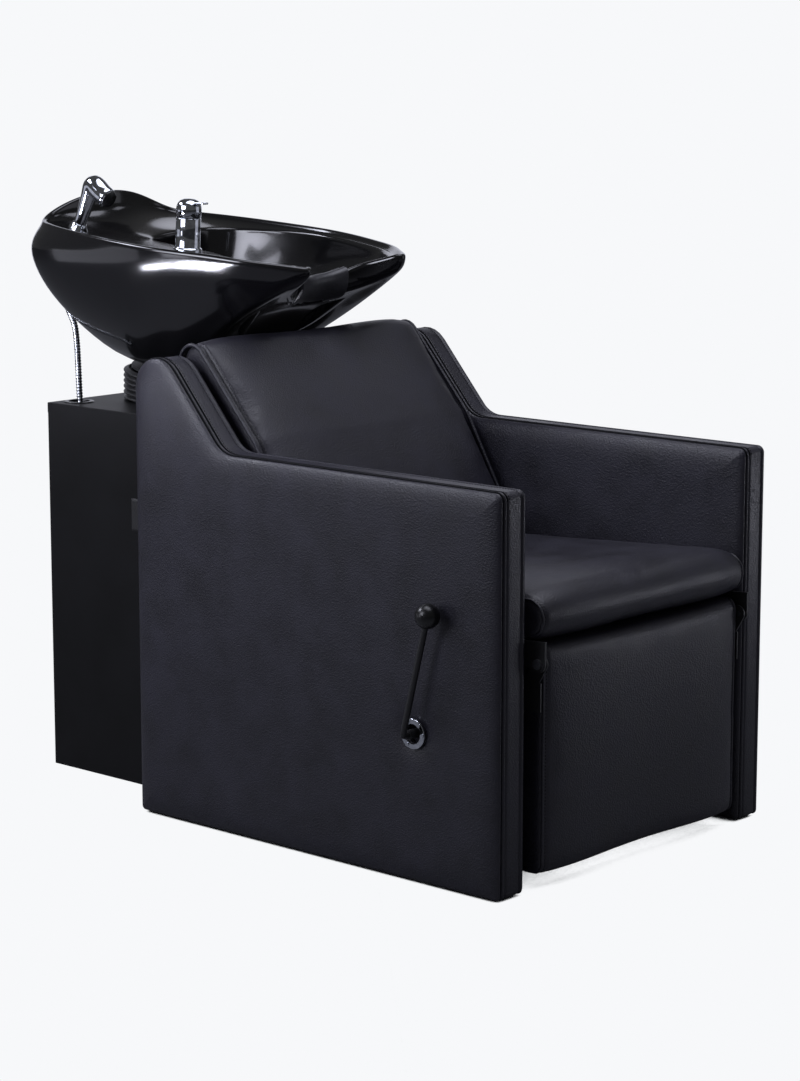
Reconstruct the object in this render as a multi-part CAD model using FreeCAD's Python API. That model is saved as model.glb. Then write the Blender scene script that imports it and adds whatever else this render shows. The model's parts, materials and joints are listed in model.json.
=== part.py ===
import FreeCAD, Part
import math
import os

os.makedirs("parts", exist_ok=True)

# A salon backwash unit: an upholstered armchair with a lever-lifted footrest, a plumbing
# cabinet behind it and a tilting wash bowl with a mixer and a hand shower.
# Lengths are in millimetres and angles in degrees. +X runs across the chair, +Y from the
# footrest to the bowl, +Z up. The lever is on the -X side. The origin lies on the floor,
# in the middle of the four floor fixings. A "setback" is measured from the front face of
# the side panels towards the bowl.

# General
overrun = 6.0           # how far a cut reaches past the face that it opens
soft_gap = 0.4          # between an upholstered piece and its neighbour
running_gap = 0.05      # radial clearance of a turning pin in its bore
loose_gap = 0.3         # radial clearance of the open pivot
plate_gap = 1.5         # between plates that swing past each other
hose_end_gap = 1.5      # between a fixed hose and the end of a tilting one

# Side panels
chair_width = 680.0
panel_depth = 777.0
front_setback = 582.0   # from the origin forward to the panels' front face
arm_height = 625.0
wing_rise = 143.0       # of the wing above the arm
wing_radius = 50.0
wing_angle = 48.8
knee_radius = 55.0
arm_front_radius = 12.0
panel_foot_radius = 8.0
outer_pad_thick = 12.0
outer_pad_edge = 8.0
arm_core_thick = 52.0
inner_pad_thick = 6.0
inner_pad_edge = 4.0
glide_height = 4.0
glide_radius = 14.0
glide_inset = 60.0
tag_height = 475.0
tag_length = 55.0
tag_reach = 20.0
tag_thick = 2.5

# Seat
seat_side_gap = 6.0
seat_thick = 65.0
seat_base_height = 394.0    # underside of the seat at the panels' front face
seat_nose = 27.0            # overhang in front of the panels at the cushion's ends
seat_depth = 455.0
seat_angle = 3.6
seat_crown = 9.0
seat_board_thick = 15.0
seat_board_setback = 77.0
rail_thick = 25.0
front_rail_setback = 50.0
front_rail_drop = 55.0
rear_rail_setback = 425.0
rear_rail_drop = 70.0

# Back
back_foot_setback = 463.0
back_foot_height = 440.0
back_lower_angle = 59.9
back_lower_length = 228.0
back_upper_angle = 48.5
back_over_cabinet = 126.6   # top of the back's line above the cabinet
back_thick = 60.0
back_crown = 10.0
back_side_gap = 6.0
back_board_thick = 14.0
rear_panel_thick = 13.0
rear_panel_top = 712.0
panel_lift = 26.0           # floor to the underside of boards that stand over the base rails

# Share of the half width at which each cushion section stands, and of the crown it has there
cushion_station_shares = (-1.0, -0.9, 0.0, 0.9, 1.0)
cushion_crown_shares = (0.0, 0.6, 1.0, 0.6, 0.0)

# Footrest and its parallel linkage
hinge_overhang = 12.0       # hinge axis in front of the panels' front face
hinge_height = 360.0
hinge_radius = 5.0
pad_side_gap = 21.0         # from the pad to the side panel
pad_front_overhang = 14.0
pad_thick = 36.0
pad_crown = 6.0
pad_bottom = 32.0
pad_top = 379.0
pad_corner = 15.0
footrest_board_thick = 10.0
footrest_board_margin = 14.0
ear_thick = 3.0
ear_radius = 13.0
hanger_thick = 4.0
hanger_radius = 14.0
bolt_head_radius = 8.0
bolt_head_thick = 3.5
shaft_setback = 166.0
shaft_height = 238.0
shaft_radius = 8.0
crank_run = 52.0            # crank and footrest lug, from their axes to their pins
crank_drop = 90.0
crank_thick = 6.0
link_thick = 6.0
link_eye_radius = 11.0
link_pin_radius = 5.0
lug_radius = 12.0

# Hand lever
lever_reach = 200.0
lever_angle = 14.5          # forward of upright
lever_rod_radius = 5.0
lever_offset = 25.0         # rod axis outside the side panel
lever_hub_radius = 11.0
lever_hub_length = 22.0
knob_radius = 19.5
knob_socket_depth = 14.0
escutcheon_radius = 24.0
escutcheon_bore = 16.0
escutcheon_thick = 3.0
escutcheon_edge = 1.2
trim_screw_radius = 3.2
trim_screw_head = 1.4
bush_radius = 15.0
bush_length = 30.0

# Floor frame
fixing_pitch_x = 300.0
fixing_pitch_y = 800.0
fixing_radius = 5.5
base_rail_width = 40.0
base_rail_height = 20.0
base_rail_length = 960.0
crossbar_width = 30.0
crossbar_setbacks = (140.0, 700.0)

# Cabinet
cabinet_width = 430.0
cabinet_depth = 361.0
cabinet_height = 650.0
cabinet_board = 18.0
cabinet_rear_board = 12.0
cabinet_edge = 1.5
cabinet_screw_radius = 4.5
cabinet_screw_head = 2.5
cabinet_screw_inset = 45.0
service_radius = 56.0       # opening for waste and supplies under the bellows
hose_hole_radius = 22.5
hose_hole_inset = 41.0      # from the cabinet's side
hose_hole_rear = 37.0       # from the cabinet's rear

# Bowl
tilt_behind = 207.0         # tilt axis behind the chair
tilt_rise = 35.0            # tilt axis above the cabinet
foot_rise = 22.0            # from the tilt axis to the bowl's foot
bowl_lean = 4.3             # rim lower at the front
bowl_width = 484.0
bowl_length = 614.0
bowl_depth = 240.0
bowl_rim = 13.0
deck_drop = 8.0
deck_thick = 16.0
neck_dip = 45.0
neck_dip_width = 205.0
crest_rise = 45.0
crest_thick = 15.0
crest_half_width = 172.0

# Bowl sections from the foot to the rim: share of the depth, then for the half outline, from
# front centre by the lug and the rear corner to rear centre, shares of half width and length
bowl_section_shares = (
    (0.0, ((0.0, -0.194), (0.208, -0.176), (0.365, -0.130), (0.434, -0.091),
           (0.475, -0.050), (0.488, 0.024), (0.310, 0.151), (0.0, 0.194))),
    (0.1875, ((0.0, -0.225), (0.248, -0.218), (0.455, -0.205), (0.545, -0.169),
              (0.624, -0.114), (0.711, -0.005), (0.508, 0.202), (0.0, 0.270))),
    (0.4125, ((0.0, -0.277), (0.322, -0.287), (0.587, -0.316), (0.669, -0.280),
              (0.760, -0.204), (0.855, -0.033), (0.620, 0.308), (0.0, 0.336))),
    (0.625, ((0.0, -0.350), (0.306, -0.375), (0.570, -0.436), (0.669, -0.399),
             (0.806, -0.296), (0.938, -0.059), (0.698, 0.357), (0.0, 0.378))),
    (0.8125, ((0.0, -0.427), (0.281, -0.461), (0.504, -0.550), (0.653, -0.508),
              (0.839, -0.371), (0.988, -0.078), (0.752, 0.379), (0.0, 0.401))),
    (1.0, ((0.0, -0.464), (0.298, -0.497), (0.455, -0.603), (0.620, -0.547),
           (0.835, -0.407), (1.0, -0.085), (0.727, 0.371), (0.0, 0.394))),
)

# Basin mouth, from front centre by the far side, the rear and the mixer deck back to the front:
# shares of the bowl's half width and length
basin_mouth_shares = (
    (0.0, -0.420), (0.256, -0.450), (0.415, -0.545), (0.570, -0.510), (0.760, -0.378),
    (0.909, -0.098), (0.711, 0.182), (0.248, 0.210), (-0.116, 0.160), (-0.165, -0.094),
    (-0.430, -0.290), (-0.620, -0.470), (-0.440, -0.528), (-0.256, -0.450),
)
# Basin levels: shares of the depth, then of the mouth's width, front reach and rear reach
basin_level_shares = (
    (1.08, 1.0, 1.0, 1.0),
    (0.80, 0.97, 0.94, 0.97),
    (0.62, 0.90, 0.74, 0.93),
    (0.41, 0.74, 0.56, 0.82),
    (0.25, 0.45, 0.38, 0.45),
)
drain_x_share = 0.124
drain_y_share = -0.025
neck_dip_reach_share = 0.3  # of the bowl's length, from its axis to the end of the dip's cut

# Neck rest
neck_pad_half_width = 58.0
neck_pad_cover = 7.0
neck_pad_skirt = 34.0

# Waste
drain_radius = 27.0
drain_lip = 3.0
tail_radius = 17.0
tail_wall = 2.0
tail_drop = 34.0            # end of the drain tail below the bowl's foot
strainer_radius = 22.0
strainer_thick = 2.5
strainer_knob_radius = 4.0
strainer_knob_height = 14.0
strainer_hole_radius = 2.2
strainer_hole_ring = 10.5
strainer_hole_count = 8
waste_radius = 22.0
waste_bore = 18.0
waste_height = 110.0
waste_stub = 30.0
waste_stub_radius = 20.0
waste_bend = 80.0
supply_radius = 12.5
supply_stub_radius = 10.5
supply_bore = 7.0
supply_height = 190.0
supply_spread = 120.0
supply_stub = 26.0
valve_radius = 15.0
valve_length = 46.0
supply_hose_radius = 6.0
supply_pitch = 18.0         # between the two supply hoses where they pass the bowl's foot
supply_pass_x = 20.0        # from the symmetry plane to the middle of that pair
supply_pass_y = 14.0
# Runs of the supply hoses: shares of the way across from the valve to the bowl's foot and up to it
supply_way_shares = ((0.0, 0.16), (0.12, 0.34), (0.45, 0.52), (0.85, 0.72), (1.0, 0.88), (1.0, 1.0))
# Runs of the mixer's tails: shares of the way across from the foot to the shank and up to it
tail_way_shares = ((0.0, 0.0), (0.0, 0.2), (0.35, 0.45), (0.75, 0.65), (1.0, 0.84), (1.0, 1.0))
# Runs of the waste hose: shares of the way from the drain tail to the pipe and down to it
waste_way_shares = ((0.0, 0.0), (0.0, 0.17), (0.3, 0.4), (0.7, 0.62), (1.0, 0.83), (1.0, 1.0))
waste_hose_radius = 18.5

# Tilt bracket and bellows
bracket_plate = 5.0
bracket_radius = 116.0
bracket_base_radius = 111.0
bracket_bore = 54.0
tilt_ear_thick = 6.0
tilt_ear_radius = 15.0
tilt_ear_offset = 68.0      # from the symmetry plane to the fixed ears' inner faces
tilt_pin_radius = 7.0
tilt_pin_head_radius = 11.0
tilt_pin_head = 4.0
bellows_radius = 130.0
bellows_fold = 10.0
bellows_wall = 2.5
bellows_ribs = 6
# Places along one rib's pitch, as shares, and the share of the fold's depth cut away there
rib_place_shares = (0.08, 0.34, 0.66, 0.92)
rib_fold_shares = (1.0, 0.0, 0.0, 1.0)

# Mixer
mixer_x_share = 0.33058     # of the bowl's width, from its symmetry plane
mixer_y_share = 0.208469    # of the bowl's length, in front of its foot's centre
mixer_radius = 24.0
mixer_body_height = 52.0
mixer_ring_radius = 27.0
mixer_ring_height = 4.0
mixer_cap_height = 28.0
mixer_cap_gap = 0.4
mixer_dome_radius = 40.0
mixer_shank_radius = 16.0
mixer_shank_length = 46.0
mixer_nut_radius = 23.0
mixer_nut_height = 10.0
handle_width = 16.0
handle_thick = 5.0
handle_reach = 42.0         # from the mixer's axis to the handle's tip
handle_root = 10.0
handle_slot_gap = 0.5
index_radius = 4.0
index_thick = 1.2
lever_hinge_radius = 4.0
lever_hinge_drop = 13.0     # handle's hinge below the cap's top

# Hand shower
shower_x_share = 0.309917   # of the bowl's width, from its symmetry plane
shower_y_share = 0.245928   # of the bowl's length, behind its foot's centre
shower_lean = 20.7
stem_foot_radius = 8.5
stem_top_radius = 12.0
stem_length = 84.0
head_radius = 15.0
head_length = 57.0
head_angle = 99.0           # from the bowl's upright
spray_radius = 12.5
spray_thick = 3.0
socket_radius = 16.0
socket_height = 12.0
socket_gap = 0.4
guide_radius = 9.5
guide_bore = 7.0
guide_rise = 4.0
guide_length = 100.0
hose_radius = 5.8
hose_exit_radius = 11.0

# Route of the hose's lower stretch, from the guide tube through the shell and the cabinet hole to the
# union inside the cabinet: points from the guide's end, then points from the hole's centre
hose_upper_route = (
    (0.0, 0.0, 0.0), (0.0, 6.2, -16.0), (0.0, 2.2, -38.0), (0.0, -9.8, -58.0), (-1.0, -23.8, -77.0),
    (-6.0, -33.8, -106.0),
)
hose_lower_route = (
    (11.0, 13.0, 66.0), (5.0, 5.0, 32.0), (2.0, 0.0, -1.0), (2.0, -6.0, -37.0), (6.0, -20.0, -73.0),
    (13.0, -44.0, -104.0),
)
hose_bend_share = 0.45
union_radius = 10.0
union_length = 30.0

front_y = -front_setback
rear_y = front_y + panel_depth
outer_x = chair_width / 2
core_outer_x = outer_x - outer_pad_thick
core_inner_x = core_outer_x - arm_core_thick
inner_x = core_inner_x - inner_pad_thick
rail_half = inner_x - soft_gap
pad_half_width = inner_x - pad_side_gap
tilt_y = rear_y + tilt_behind
wing_height = arm_height + wing_rise
back_lower_rise = back_lower_length * math.sin(math.radians(back_lower_angle))
back_upper_rise = cabinet_height + back_over_cabinet - back_foot_height - back_lower_rise
back_upper_length = back_upper_rise / math.sin(math.radians(back_upper_angle))
tilt_height = cabinet_height + tilt_rise
mixer_x = mixer_x_share * bowl_width
mixer_y = mixer_y_share * bowl_length
shower_x = shower_x_share * bowl_width
shower_y = shower_y_share * bowl_length
hose_hole_x = cabinet_width / 2 - hose_hole_inset
hose_hole_y = rear_y + cabinet_depth - hose_hole_rear
across = FreeCAD.Vector(1, 0, 0)
along = FreeCAD.Vector(0, 1, 0)
up = FreeCAD.Vector(0, 0, 1)


def point(x, y, z):
    return FreeCAD.Vector(x, y, z)


def save(name, *shapes):
    shape = shapes[0] if len(shapes) == 1 else Part.makeCompound(list(shapes))
    shape.exportStep("parts/" + name + ".step")


def block(x0, x1, y0, y1, z0, z1):
    return Part.makeBox(x1 - x0, y1 - y0, z1 - z0, point(x0, y0, z0))


def rod(start, end, radius):
    run = end - start
    return Part.makeCylinder(radius, run.Length, start, run)


def cross_rod(x0, x1, y, z, radius):
    return rod(point(x0, y, z), point(x1, y, z), radius)


def mirrored(shape):
    return shape.mirror(point(0, 0, 0), across)


def polar(angle, length):
    turn = math.radians(angle)
    return length * math.cos(turn), length * math.sin(turn)


def rounded_wire(corners, radii):
    # A closed outline of straight runs, with a tangent arc at each corner that has a radius.
    count = len(corners)
    ends = []
    for i in range(count):
        here = corners[i]
        before = (corners[i - 1] - here).normalize()
        after = (corners[(i + 1) % count] - here).normalize()
        half = before.getAngle(after) / 2
        tangent = radii[i] / math.tan(half)
        depth = radii[i] / math.sin(half) - radii[i]
        middle = here + (before + after).normalize() * depth
        ends.append((here + before * tangent, middle, here + after * tangent))
    edges = []
    for i in range(count):
        start, middle, end = ends[i]
        if radii[i] > 0:
            edges.append(Part.Arc(start, middle, end).toShape())
        edges.append(Part.LineSegment(end, ends[(i + 1) % count][0]).toShape())
    return Part.Wire(edges)


def slab_x(corners, radii, x0, x1):
    # An outline of (y, z) corners, extruded across the chair.
    wire = rounded_wire([point(x0, y, z) for y, z in corners], radii)
    return Part.Face(wire).extrude(point(x1 - x0, 0, 0))


def rounded_plate(ends, x0, x1):
    # The hull of two discs, each (y, z, radius), as a plate across the chair.
    (ya, za, ra), (yb, zb, rb) = ends
    gap = math.hypot(yb - ya, zb - za)
    heading = math.atan2(zb - za, yb - ya)
    spread = math.acos((ra - rb) / gap)
    corners = []
    for turn in (heading + spread, heading - spread):
        reach = (math.cos(turn), math.sin(turn))
        corners.append((point(x0, ya + ra * reach[0], za + ra * reach[1]),
                        point(x0, yb + rb * reach[0], zb + rb * reach[1])))
    nose = point(x0, yb + rb * math.cos(heading), zb + rb * math.sin(heading))
    heel = point(x0, ya - ra * math.cos(heading), za - ra * math.sin(heading))
    wire = Part.Wire([
        Part.LineSegment(corners[0][0], corners[0][1]).toShape(),
        Part.Arc(corners[0][1], nose, corners[1][1]).toShape(),
        Part.LineSegment(corners[1][1], corners[1][0]).toShape(),
        Part.Arc(corners[1][0], heel, corners[0][0]).toShape(),
    ])
    return Part.Face(wire).extrude(point(x1 - x0, 0, 0))


def tube_along(route, radius, bend_share):
    # A round tube on straight runs joined by arcs as large as the shorter run allows.
    edges = []
    here = route[0]
    radii = []
    for i in range(1, len(route) - 1):
        before = route[i - 1] - route[i]
        after = route[i + 1] - route[i]
        reach = bend_share * min(before.Length, after.Length)
        half = before.getAngle(after) / 2
        radii.append(reach * math.tan(half))
        start = route[i] + before.normalize() * reach
        end = route[i] + after.normalize() * reach
        depth = radii[-1] / math.sin(half) - radii[-1]
        middle = route[i] + (before + after).normalize() * depth
        edges.append(Part.LineSegment(here, start).toShape())
        edges.append(Part.Arc(start, middle, end).toShape())
        here = end
    edges.append(Part.LineSegment(here, route[-1]).toShape())
    path = Part.Wire(edges)
    section = Part.Wire([Part.makeCircle(radius, route[0], route[1] - route[0])])
    tube = path.makePipeShell([section], True, False)
    filled = tube.Volume / path.Length / (math.pi * radius ** 2)
    print("tube length", round(path.Length, 1), "volume to section by length", round(filled, 4))
    print("  bend radii", [round(bend, 1) for bend in radii])
    return tube


def cushion(section, half_width, crown):
    # A crowned pad across the chair, drawn in at its ends: section(x, swell) gives one outline.
    wires = []
    for place, rise in zip(cushion_station_shares, cushion_crown_shares):
        wires.append(section(place * half_width, rise * crown))
    return Part.makeLoft(wires, True, False)


def panel_outline(inset):
    # Corners and radii of a side panel in (y, z): a level arm, a slope up to a rounded wing.
    turn = math.radians(wing_angle)
    centre = (rear_y - wing_radius, wing_height - wing_radius)
    radius = wing_radius - inset
    touch = (centre[0] - radius * math.sin(turn), centre[1] + radius * math.cos(turn))
    arm = arm_height - inset
    knee = touch[0] - (touch[1] - arm) / math.tan(turn)
    peak = (centre[0] + radius, touch[1] + (centre[0] + radius - touch[0]) * math.tan(turn))
    front = front_y + inset
    foot = glide_height + inset
    corners = [(front, foot), (front, arm), (knee, arm), peak, (centre[0] + radius, foot)]
    radii = [panel_foot_radius, arm_front_radius, knee_radius + inset, radius, panel_foot_radius]
    return corners, radii


def side_panels():
    corners, radii = panel_outline(0)
    core = slab_x(corners, radii, core_inner_x, core_outer_x)
    shaft_y = front_y + shaft_setback
    bore = cross_rod(inner_x - overrun, outer_x + overrun, shaft_y, shaft_height, bush_radius)
    outer = slab_x(corners, radii, core_outer_x, outer_x)
    rim = [edge for edge in outer.Edges if edge.BoundBox.XMin > outer_x - soft_gap]
    outer = outer.makeFillet(outer_pad_edge, rim)
    inner = slab_x(*panel_outline(inner_pad_edge), inner_x, core_inner_x)
    rim = [edge for edge in inner.Edges if edge.BoundBox.XMax < inner_x + soft_gap]
    inner = inner.makeFillet(inner_pad_edge, rim)
    blind = cross_rod(inner_x - overrun, core_inner_x + bush_length, shaft_y, shaft_height, bush_radius)
    save("arm_core_right", mirrored(core.cut(bore)))
    save("arm_core_left", core.cut(blind))
    opening = cross_rod(core_outer_x - overrun, outer_x + overrun, shaft_y, shaft_height, escutcheon_bore)
    save("arm_outer_pad_right", mirrored(outer.cut(opening)))
    save("arm_outer_pad_left", outer)
    save("arm_inner_pad_right", mirrored(inner.cut(bore)))
    save("arm_inner_pad_left", inner.cut(bore))
    middle = (core_inner_x + core_outer_x) / 2
    glides = []
    for side in (-1, 1):
        for y in (front_y + glide_inset, rear_y - glide_inset):
            foot = point(side * middle, y, 0)
            glides.append(rod(foot, foot + point(0, 0, glide_height), glide_radius))
    save("floor_glides", *glides)
    tag = block(-core_outer_x, tag_thick - core_outer_x, rear_y, rear_y + tag_reach,
                tag_height, tag_height + tag_length)
    save("seam_tag", tag)


def seat_underside(setback):
    return seat_base_height - setback * math.tan(math.radians(seat_angle))


def seat():
    nose_radius = seat_thick / 2
    nose_y = front_y + nose_radius - seat_nose
    end_y = front_y + seat_depth
    base = seat_base_height
    top = base + seat_thick

    def section(x, swell):
        a = point(x, nose_y, base)
        tip = point(x, nose_y - nose_radius - swell, base + nose_radius)
        b = point(x, nose_y, top + swell)
        lower = point(x, nose_y - (nose_radius + swell) * math.sqrt(0.5),
                      base + nose_radius * (1 - math.sqrt(0.5)))
        upper = point(x, lower.y, base + nose_radius + (nose_radius + swell) * math.sqrt(0.5))
        c = point(x, end_y, top + swell)
        d = point(x, end_y, base)
        return Part.Wire([
            Part.Arc(a, lower, tip).toShape(), Part.Arc(tip, upper, b).toShape(),
            Part.LineSegment(b, c).toShape(), Part.LineSegment(c, d).toShape(),
            Part.LineSegment(d, a).toShape(),
        ])

    pad = cushion(section, inner_x - seat_side_gap, seat_crown)
    pad.rotate(point(0, front_y, base), across, -seat_angle)
    save("seat_cushion", pad)
    board_front = front_y + seat_board_setback
    board_end = front_y + seat_depth - rail_thick / 2
    heights = [seat_underside(seat_board_setback), seat_underside(board_end - front_y)]
    board = slab_x([(board_front, heights[0] - seat_board_thick), (board_front, heights[0]),
                    (board_end, heights[1]), (board_end, heights[1] - seat_board_thick)],
                   [0, 0, 0, 0], -rail_half, rail_half)
    save("seat_board", board)
    hanger_inner = hanger_x()
    tops = [seat_underside(front_rail_setback), seat_underside(front_rail_setback + rail_thick)]
    rail_front = front_y + front_rail_setback
    front = slab_x([(rail_front, tops[1] - front_rail_drop), (rail_front, tops[0]),
                    (rail_front + rail_thick, tops[1]), (rail_front + rail_thick, tops[1] - front_rail_drop)],
                   [0, 0, 0, 0], -hanger_inner, hanger_inner)
    start = front_y + rear_rail_setback
    under = [seat_underside(rear_rail_setback + step) - seat_board_thick for step in (0, rail_thick)]
    rear = slab_x([(start, under[1] - rear_rail_drop), (start, under[0]),
                   (start + rail_thick, under[1]), (start + rail_thick, under[1] - rear_rail_drop)],
                  [0, 0, 0, 0], -rail_half, rail_half)
    save("seat_rails", front, rear)


def back_line(offset):
    # Foot, bend and top of the back's line in (y, z), set back by an offset square to it.
    foot = (front_y + back_foot_setback, back_foot_height)
    run = polar(back_lower_angle, back_lower_length)
    rise = polar(back_upper_angle, back_upper_length)
    bend = (foot[0] + run[0], foot[1] + run[1])
    top = (bend[0] + rise[0], bend[1] + rise[1])
    lower = math.radians(back_lower_angle - 90)
    upper = math.radians(back_upper_angle - 90)
    mid = (lower + upper) / 2
    stretch = offset / math.cos((lower - upper) / 2)
    return (
        (foot[0] + offset * math.cos(lower), foot[1] + offset * math.sin(lower)),
        (bend[0] + stretch * math.cos(mid), bend[1] + stretch * math.sin(mid)),
        (top[0] + offset * math.cos(upper), top[1] + offset * math.sin(upper)),
    )


def back():
    rear = back_line(back_thick)

    def section(x, swell):
        foot, bend, top = (point(x, y, z) for y, z in back_line(-swell))
        heel, knee, crest = (point(x, y, z) for y, z in rear)
        reach = (back_thick + swell) / 2
        rise = polar(back_upper_angle, reach)
        centre = (top + crest) / 2
        peak = centre + point(0, rise[0], rise[1])
        diagonal = math.sqrt(0.5)
        near = centre + (top - centre) * diagonal + (peak - centre) * diagonal
        far = centre + (crest - centre) * diagonal + (peak - centre) * diagonal
        return Part.Wire([
            Part.LineSegment(heel, foot).toShape(), Part.LineSegment(foot, bend).toShape(),
            Part.LineSegment(bend, top).toShape(), Part.Arc(top, near, peak).toShape(),
            Part.Arc(peak, far, crest).toShape(), Part.LineSegment(crest, knee).toShape(),
            Part.LineSegment(knee, heel).toShape(),
        ])

    save("back_cushion", cushion(section, inner_x - back_side_gap, back_crown))
    behind = back_line(back_thick + back_board_thick)
    board = slab_x([*rear, *reversed(behind)], [0] * (len(rear) + len(behind)), -rail_half, rail_half)
    save("back_board", board)
    panel = block(-rail_half, rail_half, rear_y - rear_panel_thick, rear_y, panel_lift, rear_panel_top)
    save("chair_rear_panel", panel)


def hanger_x():
    # Inner faces of the fixed hinge plates beside the footrest.
    return pad_half_width + ear_thick + 3 * plate_gap


def hinge_place():
    return front_y - hinge_overhang, hinge_height


def lug_place():
    y, z = hinge_place()
    return y + crank_run, z - crank_drop


def shaft_place():
    return front_y + shaft_setback, shaft_height


def crank_place():
    y, z = shaft_place()
    return y + crank_run, z - crank_drop


def footrest():
    front = front_y - pad_front_overhang
    back = front + pad_thick

    def section(x, swell):
        low = pad_bottom + pad_crown - swell
        high = pad_top - pad_crown + swell
        corners = [(back, low), (back, high), (front - swell, high), (front - swell, low)]
        return rounded_wire([point(x, y, z) for y, z in corners], [0, 0, pad_corner, pad_corner])

    save("footrest_pad", cushion(section, pad_half_width, pad_crown))
    board_back = back + footrest_board_thick
    half = pad_half_width - footrest_board_margin
    low = pad_bottom + footrest_board_margin
    high = pad_top - footrest_board_margin
    save("footrest_board", block(-half, half, back, board_back, low, high))
    hinge_y, hinge_z = hinge_place()
    lug_y, lug_z = lug_place()
    inner = pad_half_width + plate_gap
    outer = inner + ear_thick
    ear = rounded_plate(((hinge_y, hinge_z, ear_radius), (lug_y, lug_z, lug_radius)), inner, outer)
    flange_low = lug_z + link_eye_radius + 2 * plate_gap
    flange_high = flange_low + crank_drop / 2
    flange = block(half - ear_radius, outer, board_back, board_back + ear_thick, flange_low, flange_high)
    strap = block(inner, outer, hinge_y, board_back + ear_thick, flange_low, flange_high)
    bracket = ear.fuse(strap).fuse(flange)
    hinge_bore = cross_rod(inner - overrun, outer + overrun, hinge_y, hinge_z, hinge_radius + running_gap)
    lug_pin = cross_rod(link_inner_x(), outer, lug_y, lug_z, link_pin_radius)
    bracket = bracket.cut(hinge_bore).fuse(lug_pin).removeSplitter()
    save("footrest_brackets", bracket, mirrored(bracket))


def link_inner_x():
    return pad_half_width - link_thick - plate_gap


def hangers():
    hinge_y, hinge_z = hinge_place()
    x0 = hanger_x()
    x1 = x0 + hanger_thick
    rail_end = front_y + front_rail_setback + rail_thick
    nose = hinge_y - hanger_radius
    tops = [seat_underside(nose - front_y) - soft_gap, seat_underside(rail_end - front_y)]
    low = tops[1] - front_rail_drop
    web = slab_x([(nose, hinge_z), (nose, tops[0]), (rail_end, tops[1]), (rail_end, low)],
                 [0, 0, 0, 0], x0, x1)
    eye = cross_rod(x0, x1, hinge_y, hinge_z, hanger_radius)
    bore = cross_rod(x0 - overrun, x1 + overrun, hinge_y, hinge_z, hinge_radius)
    plate = web.fuse(eye).removeSplitter().cut(bore)
    save("hinge_hangers", plate, mirrored(plate))
    pin = cross_rod(pad_half_width + plate_gap, x1, hinge_y, hinge_z, hinge_radius)
    head = cross_rod(x1, x1 + bolt_head_thick, hinge_y, hinge_z, bolt_head_radius)
    bolt = pin.fuse(head)
    save("hinge_bolts", bolt, mirrored(bolt))


def lever():
    shaft_y, shaft_z = shaft_place()
    crank_y, crank_z = crank_place()
    rod_x = -outer_x - lever_offset
    shaft_end = core_inner_x + bush_length - plate_gap
    hub_end = rod_x - lever_hub_length / 2
    hub_start = rod_x + lever_hub_length / 2
    save("lever_shaft", cross_rod(hub_start, shaft_end, shaft_y, shaft_z, shaft_radius))
    run, rise = polar(90 + lever_angle, 1)
    tip = point(rod_x, shaft_y + run * lever_reach, shaft_z + rise * lever_reach)
    reach = lever_reach - knob_radius + knob_socket_depth
    stem = rod(point(rod_x, shaft_y, shaft_z),
               point(rod_x, shaft_y + run * reach, shaft_z + rise * reach), lever_rod_radius)
    hub = cross_rod(hub_end, hub_start, shaft_y, shaft_z, lever_hub_radius)
    save("lever_rod", stem.fuse(hub).removeSplitter())
    save("lever_knob", Part.makeSphere(knob_radius, tip).cut(stem))
    crank_outer = link_inner_x() - plate_gap
    arm = rounded_plate(((shaft_y, shaft_z, shaft_radius * 2), (crank_y, crank_z, link_eye_radius)),
                        crank_outer - crank_thick, crank_outer)
    arm = arm.cut(cross_rod(crank_outer - crank_thick - overrun, crank_outer + overrun,
                            shaft_y, shaft_z, shaft_radius))
    pin = cross_rod(crank_outer - crank_thick, link_inner_x() + link_thick,
                    crank_y, crank_z, link_pin_radius)
    arm = arm.fuse(pin).removeSplitter()
    save("crank_arms", arm, mirrored(arm))
    lug_y, lug_z = lug_place()
    x0 = link_inner_x()
    x1 = x0 + link_thick
    link = rounded_plate(((crank_y, crank_z, link_eye_radius), (lug_y, lug_z, link_eye_radius)), x0, x1)
    link = link.cut(cross_rod(x0 - overrun, x1 + overrun, crank_y, crank_z, link_pin_radius + running_gap))
    link = link.cut(cross_rod(x0 - overrun, x1 + overrun, lug_y, lug_z, link_pin_radius + loose_gap))
    save("push_rods", link, mirrored(link))
    hole = cross_rod(-outer_x - overrun, core_inner_x + bush_length + overrun,
                     shaft_y, shaft_z, shaft_radius + running_gap)
    near = cross_rod(-core_inner_x - bush_length, -core_inner_x, shaft_y, shaft_z, bush_radius).cut(hole)
    far = cross_rod(core_inner_x, core_inner_x + bush_length, shaft_y, shaft_z, bush_radius).cut(hole)
    save("shaft_bushes", near, far)
    ring = cross_rod(-outer_x - escutcheon_thick, -outer_x, shaft_y, shaft_z, escutcheon_radius)
    rim = [edge for edge in ring.Edges if edge.BoundBox.XMax < -outer_x - escutcheon_thick / 2]
    ring = ring.makeFillet(escutcheon_edge, rim)
    bore = cross_rod(-outer_x - escutcheon_thick - overrun, -outer_x + overrun,
                     shaft_y, shaft_z, escutcheon_bore)
    save("lever_escutcheon", ring.cut(bore))
    circle = (escutcheon_radius + escutcheon_bore) / 2
    heads = []
    for turn in (180, 60, -60):
        dy, dz = polar(turn, circle)
        heads.append(cross_rod(-outer_x - escutcheon_thick - trim_screw_head, -outer_x - escutcheon_thick,
                               shaft_y + dy, shaft_z + dz, trim_screw_radius))
    save("escutcheon_screws", *heads)


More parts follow.
